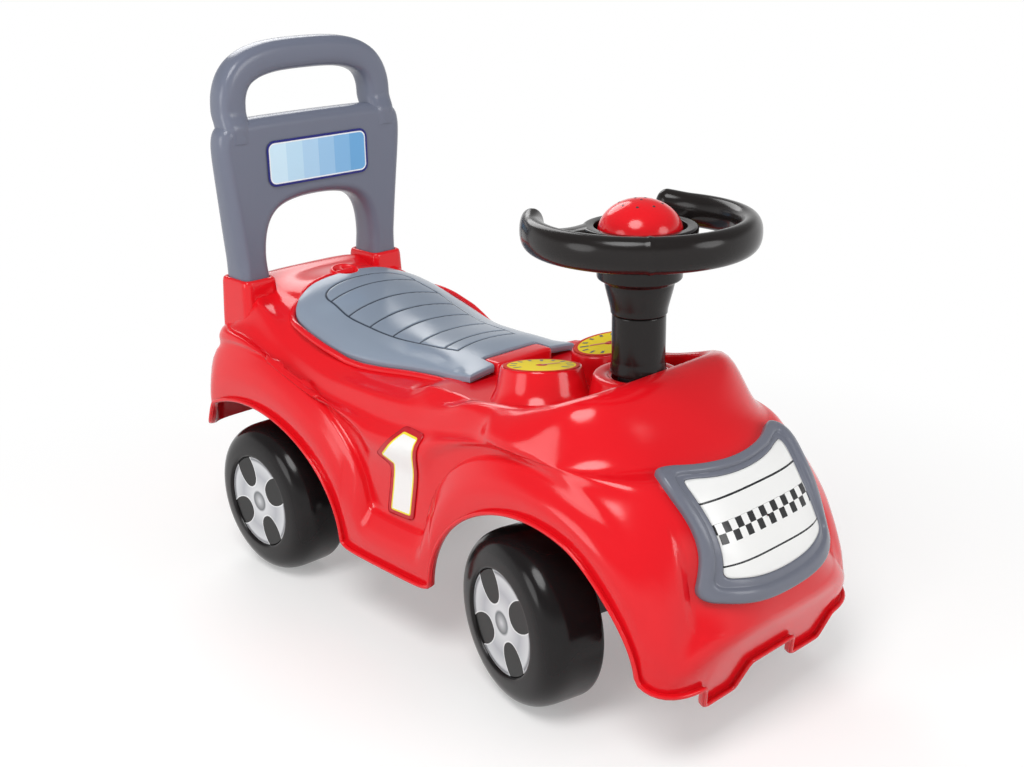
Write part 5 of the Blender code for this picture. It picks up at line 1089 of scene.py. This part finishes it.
doorY, doorZ = np.linspace(-0.06, 0.06, 81), np.linspace(0.1065, 0.199, 75)
numberPrint = printed("numberPrint", (0.86, 0.86, 0.85), 0.25)
numberTones = ((-0.008, (0.87, 0.865, 0.85)), (-0.0007, (0.86, 0.74, 0.04)), (0.0007, (0.50, 0.006, 0.014)))
paint(numberPrint, fieldRamp(numberPrint, "core", numberTones, -0.008, 0.008, "CONSTANT"))
for side, tag in ((-1, "Right"), (1, "Left")):
    doorRow = skin[creaseRow + 8]
    columns = np.flatnonzero((doorRow[:, 0] * side > 0.09) & (np.abs(doorRow[:, 1]) < 0.085))
    table = surfaceTable(columns, 0, 1, (creaseRow, shoulderRow + 5), doorY, doorZ)
    mirror = np.array([side, 1.0])
    digit = roundLoop(number["digit"], number["corner"], 260) * mirror
    loop = roundLoop(grownLoop(number["digit"], number["border"]), 0.005, 260) * mirror
    if side < 0:
        digit, loop = digit[::-1], loop[::-1]
    digit, loop = digit + (number["y"], 0), loop + (number["y"], 0)
    spacing = number["spacing"]
    gridY, gridZ = np.meshgrid(np.arange(-0.040, 0.040, spacing), np.arange(0.105, 0.195, spacing))
    inside = np.column_stack([gridY.ravel(), gridZ.ravel()])
    closed, core = [np.vstack([loop, loop[:1]])], [np.vstack([digit, digit[:1]])]
    inside = inside[insideLoop(inside, loop) & (lineDistance(inside[:, 0], inside[:, 1], closed) > 0.0008)
                    & (lineDistance(inside[:, 0], inside[:, 1], core) > 0.0012)]
    rings = [digit + loopNormals(digit) * d for d in (-0.0009, -0.0005, 0.0005, 0.0009)]
    flat, tris = fillLoop(loop, np.concatenate(rings + [inside]))
    away = lineDistance(flat[:, 0], flat[:, 1], core) * np.where(insideLoop(flat, digit), -1, 1)
    x = readTable(table, doorY, doorZ, flat[:, 0], flat[:, 1]) + side * number["lift"]
    mesh = meshFrom("numberPrint" + tag, np.column_stack([x, flat]), tris if side > 0 else tris[:, ::-1])
    setField(mesh, "core", away)
    piece = addPiece("numberPrint" + tag, mesh, numberPrint, "car",
                     stands=["number_label_" + tag.lower()])
    addWall(piece, 0.0006)
print("number labels made")


# Dials on the pods
gauge = {"tickOut": 0.0250, "tickLong": (0.0025, 0.0036), "tickWide": 0.0013, "needleLong": 0.0085,
         "needleWide": 0.0012, "lift": 0.0006, "inkLift": 0.00075, "needleLift": 0.0009}
gaugePrint = printed("gaugePrint", (0.86, 0.66, 0.008), 0.50, level=0.05)
dialTones = ((0.0, (0.60, 0.03, 0.02)), (0.0045, (0.86, 0.66, 0.008)), (0.0268, (0.62, 0.03, 0.010)))
paint(gaugePrint, fieldRamp(gaugePrint, "reach", dialTones, 0, 0.031, "CONSTANT"))
inkMould = plastic("dialInk", (0.03, 0.025, 0.02), 0.35)
needleMould = plastic("needleInk", (0.62, 0.02, 0.02), 0.30)


def flatMarks(name, places, lift):
    # small plates that point to the dial's middle: each is a reach, a direction and half its length and width
    reach, angle, long, wide = np.array(places).T[:, :, None]
    u, v = np.array([-1, 1, 1, -1]), np.array([-1, -1, 1, 1])
    x = reach * np.cos(angle) + np.cos(angle) * u * long - np.sin(angle) * v * wide
    y = reach * np.sin(angle) + np.sin(angle) * u * long + np.cos(angle) * v * wide
    points = np.stack([x, y, np.full_like(x, lift)], -1)
    return meshFrom(name, points, np.arange(4 * len(places)).reshape(-1, 4))


for side, tag in ((-1, "Right"), (1, "Left")):
    turn, _ = podMatrix(side)
    reach = np.array([0.0, 0.0015, 0.0045, 0.0046, 0.010, 0.016, 0.022, 0.0271, 0.0273, 0.0290, pod["dial"]])
    angle = np.arange(96) * 2 * math.pi / 96
    r = reach[:, None] + 0 * angle
    dial = np.stack([r * np.cos(angle), r * np.sin(angle), 0 * r + gauge["lift"]], -1)
    mesh = meshFrom("dialPrint" + tag, dial, gridFaces(*r.shape, closeCols=True))
    setField(mesh, "reach", r)
    piece = addPiece("dialPrint" + tag, place(weld(mesh), turn), gaugePrint, "car",
                     stands=["gauge_label_" + tag.lower()])
    addWall(piece, 0.0004)
    marks = []
    for k in range(11):
        long = gauge["tickLong"][1 if k % 5 == 0 else 0]
        marks.append((gauge["tickOut"] - long, math.radians(-210 + 24 * k), long, gauge["tickWide"]))
    mesh = flatMarks("dialTicks" + tag, marks, gauge["inkLift"])
    addPiece("dialTicks" + tag, place(mesh, turn), inkMould, "car")
    long, needleDeg = gauge["needleLong"], -150 if side < 0 else -90
    needle = (long, math.radians(needleDeg), long, gauge["needleWide"])
    mesh = flatMarks("dialNeedle" + tag, [needle], gauge["needleLift"])
    addPiece("dialNeedle" + tag, place(mesh, turn), needleMould, "car")
print("dials made")


# Steering wheel, column and horn
wheel = {"radius": 0.0800, "halfWide": 0.0090, "halfTall": 0.0131, "middleZ": 0.3580, "gapDeg": 90,
         "tipRise": 0.0025, "bandDeg": 238, "bandOut": 0.0006, "bandReach": 0.0016,
         "spokeDeg": 60, "spokeWide": 0.0240, "spokeMiddleZ": 0.3540, "spokeTall": 0.0105,
         "hub": 0.0430, "hubZ": (0.3420, 0.3620), "cup": 0.0346, "neck": 0.0320, "neckZ": 0.3222,
         "cupFloor": 0.3385}
column = {"radius": 0.0205, "baseRadius": 0.0216, "bottom": 0.2484, "top": 0.2948}


def power(wave, exponent):
    # a cosine or sine raised to a power with its sign kept, for squarer ovals
    return np.sign(wave) * np.abs(wave) ** exponent


def rimTube(steps=420, sides=36):
    # an upright oval carried along the arc; its ends close in a half ellipse and rise a little, and one
    # narrow parting band stands out by a bell curve of the distance along the arc
    half = math.radians(wheel["gapDeg"] / 2)
    angle = np.linspace(math.pi / 2 + half, math.pi * 2.5 - half, steps)
    arc = (angle - angle[0]) * wheel["radius"]
    tip = np.minimum(arc, arc[-1] - arc)
    close = np.sqrt(np.clip(1 - (1 - np.clip(tip / 0.010, 0, 1)) ** 2, 0, 1)) * 0.999 + 0.001
    rise = wheel["tipRise"] * (1 - ease(tip / 0.030))
    fromBand = (angle - math.radians(wheel["bandDeg"])) * wheel["radius"]
    band = wheel["bandOut"] * np.exp(-(fromBand[:, None] / wheel["bandReach"]) ** 2)
    turn = np.arange(sides) * 2 * math.pi / sides
    wide = power(np.cos(turn), 0.9) * (wheel["halfWide"] + band)
    tall = power(np.sin(turn), 0.9) * (wheel["halfTall"] + band)
    r = wheel["radius"] + close[:, None] * wide
    z = wheel["middleZ"] + rise[:, None] + close[:, None] * tall
    points = np.stack([r * np.cos(angle)[:, None], r * np.sin(angle)[:, None], z], -1)
    ends = [np.repeat(points[k].mean(axis=0)[None], sides, 0) for k in (0, -1)]
    points = np.concatenate([ends[0][None], points, ends[1][None]])
    return weld(meshFrom("steeringRim", points, gridFaces(len(points), sides, closeCols=True)))


def spokeWeb(side):
    # a flat oval section from the hub to the rim, wider and thicker at both ends
    t = np.linspace(0, 1, 25)[:, None]
    a = math.radians(90 + side * wheel["spokeDeg"])
    r = 0.040 + t * (wheel["radius"] - 0.040)
    flare = (2 * t - 1) ** 2
    turn = np.arange(32) * 2 * math.pi / 32
    wide = (wheel["spokeWide"] / 2 - 0.0022 + 0.0050 * flare) * power(np.cos(turn), 0.5)
    tall = (wheel["spokeTall"] / 2 + 0.0030 * flare) * power(np.sin(turn), 0.8)
    x, y = r * math.cos(a) - wide * math.sin(a), r * math.sin(a) + wide * math.cos(a)
    z = wheel["spokeMiddleZ"] + tall + 0 * r
    web = np.stack([x + 0 * z, y + 0 * z, z], -1)
    return weld(meshFrom("steeringSpoke", web, gridFaces(*web.shape[:2], closeCols=True)))


def steeringHub():
    # cup, collar, flared neck and the bore over the column's top, as one closed profile with its corner radii
    hub, cup, neck, top, floor = wheel["hub"], wheel["cup"], wheel["neck"], column["top"], wheel["cupFloor"]
    (low, high), neckZ = wheel["hubZ"], wheel["neckZ"]
    corners = [(cup, floor + 0.0040, 0), (cup, high - 0.0005, 0.0006), (hub - 0.0002, high, 0.0024),
               (hub, low + 0.0040, 0.006), (neck + 0.0010, low + 0.0005, 0.004), (neck, neckZ, 0.0016),
               (neck - 0.0054, neckZ - 0.0022, 0.0016), (neck - 0.0060, neckZ - 0.0065, 0.003),
               (0.0217, top + 0.0040, 0.004), (0.0214, top + 0.0002, 0.0008), (0.0143, top + 0.0003, 0.0004),
               (0.0143, 0.3130, 0.0004), (0.0062, 0.3130, 0.0004), (0.0062, floor, 0.0006), (0.0290, floor, 0)]
    profile, radii = [corner[:2] for corner in corners], [corner[2] for corner in corners]
    return turnedMesh("steeringHub", roundedLine(profile, radii, 6), 120, closed=True)


def columnTube():
    # a tube up into the hub, with a wider skirt round the bush
    radius, base, top, bottom = column["radius"], column["baseRadius"], column["top"], column["bottom"]
    profile = [(0, 0.3118), (0.0138, 0.3118), (0.0140, top - 0.0003), (radius - 0.0008, top - 0.0003),
               (radius, top - 0.0011), (radius, 0.2580), (base, 0.2505), (base, bottom + 0.0006),
               (base - 0.0006, bottom), (0.0202, bottom), (0.0202, 0.2556), (0.0125, 0.2556),
               (0.0125, 0.0880), (0, 0.0880)]
    return turnedMesh("columnTube", roundedLine(profile, 0.0012, 4), 96)


addPiece("steeringRim", steerMesh(rimTube()), blackMould, "steering", stands=["steering_wheel"])
for side, tag in ((-1, "Right"), (1, "Left")):
    addPiece("steeringSpoke" + tag, steerMesh(spokeWeb(side)), blackMould, "steering")
addPiece("steeringHub", steerMesh(steeringHub()), blackMould, "steering", sharp=50)
addPiece("columnTube", steerMesh(columnTube()), blackMould, "steering",
         stands=["steering_column"], sharp=50)

horn = {"radius": 0.0318, "base": 0.3555, "top": 0.3814, "skin": 0.0020, "hole": 0.0011, "ring": 0.0160,
        "innerRing": 0.0042}
rise = horn["top"] - horn["base"]


def domeProfile():
    # a quarter ellipse outside and one within it, joined by a collar that stays in the cup
    def quarter(angles, shrink):
        return [((horn["radius"] - shrink) * math.sin(a), horn["base"] + (rise - shrink) * math.cos(a))
                for a in angles]
    angles = np.linspace(0, math.pi / 2, 40)
    collar = [(horn["radius"], horn["base"] - 0.0085), (0.0342, horn["base"] - 0.0090),
              (0.0342, horn["base"] - 0.0120), (horn["radius"] - horn["skin"], horn["base"] - 0.0120)]
    return quarter(angles, 0) + collar + quarter(angles[::-2], horn["skin"])


domeMesh = turnedMesh("hornDome", domeProfile(), 120)
addPiece("hornDome", steerMesh(domeMesh), redMould, "horn", stands=["horn_button"])


def domeHoleShades():
    # small dark cups on the dome, painted shade in place of its holes: eight in a ring and three at the middle,
    # each square to the surface
    spots = [(horn["ring"], a) for a in np.arange(8) * math.pi / 4]
    spots += [(horn["innerRing"], a) for a in np.arange(3) * 2 * math.pi / 3]
    r, a = np.array(spots).T
    slope = np.arcsin(r / horn["radius"])
    centre = np.stack([r * np.cos(a), r * np.sin(a), horn["base"] + rise * np.cos(slope)], -1)
    normal = np.stack([np.sin(slope) * np.cos(a) / horn["radius"], np.sin(slope) * np.sin(a) / horn["radius"],
                       np.cos(slope) / rise], -1)
    normal /= np.linalg.norm(normal, axis=1, keepdims=True)
    side = np.cross(normal, np.stack([-np.sin(a), np.cos(a), 0 * a], -1))
    across = np.cross(normal, side)
    turn = np.arange(12) * math.pi / 6
    circle = np.cos(turn)[None, :, None] * side[:, None] + np.sin(turn)[None, :, None] * across[:, None]
    steps = ((0.00012, 0.0), (0.00014, 0.9), (0.00004, 1.0), (-0.0004, 1.0))
    rows = [centre[:, None] + normal[:, None] * lift + circle * horn["hole"] * share for lift, share in steps]
    cell = gridFaces(len(steps), len(turn), closeCols=True)
    cells = np.concatenate([cell + len(steps) * len(turn) * k for k in range(len(spots))])
    return weld(meshFrom("hornHoleShades", np.stack(rows, 1), cells))


# the dark cups are painted shade standing in for the dome's holes
addPiece("hornHoleShades", steerMesh(domeHoleShades()), darkMould, "horn")
print("steering made")


# Wheels: turned tyres and printed discs
tyre = {"radius": 0.070, "outer": 0.128, "inner": 0.078, "skin": 0.003, "recess": 0.0425, "recessDeep": 0.012,
        "discInset": 0.0025, "discThick": 0.002, "discTurnDeg": 32, "steps": 144}
axles = {"front": (steerY, steerRest), "rear": (0.199, 0.0)}


def tyreLine():
    # hub recess, sidewall, shoulder and tread, then back inside the skin to the hub tube; each corner is a
    # radius from the axle, a place along it and its rounding
    top, outer, inner = tyre["radius"], tyre["outer"], tyre["inner"]
    recess, floor, skin = tyre["recess"], outer - tyre["recessDeep"], tyre["skin"]
    corners = [(0.0044, floor, 0), (recess - 0.0006, floor, 0.0006), (recess, floor + 0.0008, 0.0006),
               (recess, outer - 0.0022, 0.0012), (recess + 0.0012, outer - 0.0003, 0.0012),
               (recess + 0.0030, outer, 0.003), (top * 0.78, outer - 0.0010, 0.004),
               (top * 0.86, outer - 0.0031, 0.004), (top * 0.915, outer - 0.0060, 0.004),
               (top * 0.962, outer - 0.0108, 0.004), (top * 0.988, outer - 0.0160, 0.004),
               (top, outer - 0.0225, 0.006), (top, inner + 0.0035, 0.002), (top - 0.0006, inner + 0.0012, 0.001),
               (top - 0.0018, inner, 0.001), (top - skin, inner, 0.001), (top - skin, outer - 0.0225, 0.004),
               (top * 0.965 - skin, outer - 0.0150, 0.003), (top * 0.89 - skin, outer - 0.0085, 0.003),
               (recess + skin, outer - 0.0040, 0.002), (recess + skin, floor - skin, 0.001),
               (0.0095, floor - skin, 0.001), (0.0095, 0.0796, 0.0006), (0.0044, 0.0796, 0)]
    return roundedLine([corner[:2] for corner in corners], [corner[2] for corner in corners], 5)


def axlePlace(end, side):
    y, turn = axles[end]
    matrix = Matrix.Translation((0, y, tyre["radius"])) @ Matrix.Rotation(turn, 4, "Z")
    return matrix @ Matrix.Rotation(side * math.pi / 2, 4, "Y")


def discPrint():
    # printed silver plate: four broad spokes are left between four black openings with a pale outline
    reach = np.concatenate([[0, 0.003, 0.006], np.linspace(0.008, tyre["recess"] - 0.0003, 60)])
    angle = np.arange(240) * 2 * math.pi / 240
    r, a = reach[:, None] + 0 * angle, angle + 0 * reach[:, None]
    points = np.stack([r * np.cos(a), r * np.sin(a), 0 * r + tyre["outer"] - tyre["discInset"]], -1)
    mesh = meshFrom("hubPrint", points, gridFaces(*r.shape, closeCols=True))
    u = (np.mod(a + math.pi / 4, math.pi / 2) - math.pi / 4) * r      # along the arc from an opening's middle
    v = r - 0.0330
    width = 0.0138 * (1 + 0.10 * np.clip(v / 0.018, -1, 1))
    egg = np.sqrt((u / width) ** 2 + (v / 0.0190) ** 2)
    setField(mesh, "opening", egg)
    setField(mesh, "reach", r)
    return weld(mesh)


silverPrint = printed("silverPrint", (0.55, 0.56, 0.58), 0.24, peel=0.01, scuff=0.06, shift=0.02)
# silver print tones by reach, partly painted light: the pale middle is a painted highlight on the hub, the dark
# rings at 8.5 mm and 40.5 mm are painted shade round the hub and along the recess wall, the pale outer edge is a
# painted highlight on the lip, and the face is darker towards the middle of its span
silverToneAndPaintedLight = ((0.0, (0.62, 0.63, 0.65)), (0.0085, (0.16, 0.17, 0.18)), (0.0105, (0.70, 0.71, 0.73)),
               (0.026, (0.46, 0.47, 0.50)), (0.038, (0.66, 0.67, 0.69)), (0.0405, (0.20, 0.20, 0.22)),
               (0.0425, (0.72, 0.73, 0.75)))
openTones = ((0.0, (0.006, 0.006, 0.006)), (0.93, (0.80, 0.81, 0.82)))
# the disc's ground colour: silver print with the painted highlight and shade rings
ground = fieldRamp(silverPrint, "reach", silverToneAndPaintedLight, 0, 0.0425)
openTone = fieldRamp(silverPrint, "opening", openTones, 0, 1.4, "CONSTANT")
openMask = fieldRamp(silverPrint, "opening", ((0.0, (1, 1, 1)), (1.0, (0, 0, 0))), 0, 1.4, "CONSTANT")
paint(silverPrint, tintOver(silverPrint, ground, openTone, openMask))
silverPrint.node_tree.nodes["Principled BSDF"].inputs["Metallic"].default_value = 0.35
for end in axles:
    for side, tag in ((-1, "Right"), (1, "Left")):
        body = end + "_wheel_" + tag.lower() + "_body"
        name = end.capitalize() + tag
        matrix = axlePlace(end, side)
        tyreMesh = turnedMesh("tyre" + name, tyreLine(), tyre["steps"], closed=True)
        addPiece("tyre" + name, place(tyreMesh, matrix), tyreMould, body,
                 stands=[end + "_wheel_" + tag.lower()], sharp=60)
        discMatrix = matrix @ Matrix.Rotation(math.radians(tyre["discTurnDeg"]), 4, "Z")
        disc = addPiece("hubPrint" + name, place(discPrint(), discMatrix), silverPrint, body,
                        stands=[end + "_wheel_disc_" + tag.lower()])
        addWall(disc, tyre["discThick"])
print("wheels made")


# The CAD nodes that stay get a finish of their kind
finishes = [("axle_beam", darkMould), ("rear_axle_bracket", darkMould), ("lower_bearing_plate", darkMould),
            ("storage_tray", darkMould), ("column_bush", darkMould), ("horn_bellows", softVinyl),
            ("horn_reed", darkMould), ("screw", zinc), ("push_nut", zinc), ("axle", zinc), ("hinge_pin", zinc)]
for name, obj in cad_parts.items():
    for kind, finish in finishes:
        if kind in name:
            for slotAt in obj.material_slots:
                slotAt.material = finish
            break


# Camera, light and floor
view = {"azimuth": -43.242, "elevation": 19.344, "roll": -1.026, "target": (0, -0.0105, 0.204),
        "distance": 1.139, "focal": 1349.65, "imageWidth": 1024, "overhead": 0.30}


def aimCamera():
    a, e, roll = (math.radians(view[k]) for k in ("azimuth", "elevation", "roll"))
    back = Vector((math.sin(a) * math.cos(e), -math.cos(a) * math.cos(e), math.sin(e)))
    right = Vector((math.cos(a), math.sin(a), 0))
    up = back.cross(right)
    x = math.cos(roll) * right + math.sin(roll) * up
    y = -math.sin(roll) * right + math.cos(roll) * up
    data = bpy.data.cameras.new("camera")
    data.sensor_width = 36
    data.lens = view["focal"] / view["imageWidth"] * 36
    data.clip_start = 0.05
    obj = bpy.data.objects.new("camera", data)
    matrix = Matrix((x, y, back)).transposed().to_4x4()
    matrix.translation = Vector(view["target"]) + back * view["distance"]
    obj.matrix_world = matrix
    bpy.context.scene.collection.objects.link(obj)
    bpy.context.scene.camera = obj


aimCamera()
lamps = {"keyLamp": ((-0.9, -0.5, 1.7), (0, 0, 0.2), 0.9, 18),
         "sideLamp": ((0.5, -1.6, 0.9), (0, -0.1, 0.15), 0.8, 7),
         "backLamp": ((0.6, 1.4, 1.3), (0, 0.1, 0.2), 1.0, 9),
         "fillLamp": ((-1.7, 0.3, 0.7), (0, 0.1, 0.15), 0.9, 7)}
for name, (at, to, size, power) in lamps.items():
    data = bpy.data.lights.new(name, "AREA")
    data.shape, data.size, data.energy = "DISK", size, power
    obj = bpy.data.objects.new(name, data)
    aim = (Vector(at) - Vector(to)).to_track_quat("Z", "Y").to_matrix().to_4x4()
    obj.matrix_world = Matrix.Translation(at) @ aim
    bpy.context.scene.collection.objects.link(obj)


def paleWorld():
    # white near the horizon, where the camera looks, and dimmer overhead, so that the gloss keeps its depth
    world = bpy.data.worlds.new("paleWorld")
    world.use_nodes = True
    nodes, links = world.node_tree.nodes, world.node_tree.links
    coords, split = nodes.new("ShaderNodeTexCoord"), nodes.new("ShaderNodeSeparateXYZ")
    sky = nodes.new("ShaderNodeValToRGB")
    links.new(coords.outputs["Generated"], split.inputs[0])
    links.new(split.outputs["Z"], sky.inputs["Fac"])
    band = sky.color_ramp.elements
    band[0].position, band[0].color = 0.14, (1, 1, 1, 1)
    band[1].position, band[1].color = 0.40, (view["overhead"],) * 3 + (1,)
    links.new(sky.outputs["Color"], nodes["Background"].inputs["Color"])
    bpy.context.scene.world = world


paleWorld()
floorMat, nodes, links, shader = newMaterial("paleFloor")
nodes.remove(shader)
diffuse, glow = nodes.new("ShaderNodeBsdfDiffuse"), nodes.new("ShaderNodeEmission")
white, near, far = (nodes.new("ShaderNode" + kind) for kind in ("Emission", "AddShader", "MixShader"))
ray = nodes.new("ShaderNodeLightPath").outputs


def floorMaths(operation, *values):
    made = nodes.new("ShaderNodeMath")
    made.operation = operation
    for socketAt, value in zip(made.inputs, values):
        if isinstance(value, (int, float)):
            socketAt.default_value = value
        else:
            links.new(value, socketAt)
    return made.outputs[0]


seen = floorMaths("MAXIMUM", ray["Is Camera Ray"], ray["Is Glossy Ray"])
seen = floorMaths("MAXIMUM", seen, ray["Is Transmission Ray"])
coords, reach, fade = (nodes.new("ShaderNode" + kind) for kind in ("TexCoord", "VectorMath", "MapRange"))
reach.operation = "LENGTH"
links.new(coords.outputs["Object"], reach.inputs[0])
links.new(reach.outputs["Value"], fade.inputs["Value"])
fade.inputs["From Min"].default_value, fade.inputs["From Max"].default_value = 0.30, 0.75
fade.interpolation_type = "SMOOTHSTEP"
diffuse.inputs["Color"].default_value = (0.74, 0.735, 0.73, 1)
links.new(floorMaths("MULTIPLY", seen, 0.30), glow.inputs["Strength"])
links.new(diffuse.outputs[0], near.inputs[0])
links.new(glow.outputs[0], near.inputs[1])
links.new(floorMaths("MULTIPLY", seen, fade.outputs["Result"]), far.inputs["Fac"])
links.new(near.outputs[0], far.inputs[1])
links.new(white.outputs[0], far.inputs[2])
links.new(far.outputs[0], nodes["Material Output"].inputs["Surface"])
floorMesh = meshFrom("paleFloor", [(-6, -6, 0), (6, -6, 0), (6, 6, 0), (-6, 6, 0)], [[0, 1, 2, 3]])
floor = bpy.data.objects.new("paleFloor", floorMesh)
floorMesh.materials.append(floorMat)
bpy.context.scene.collection.objects.link(floor)
bpy.context.scene.view_settings.view_transform = "Standard"
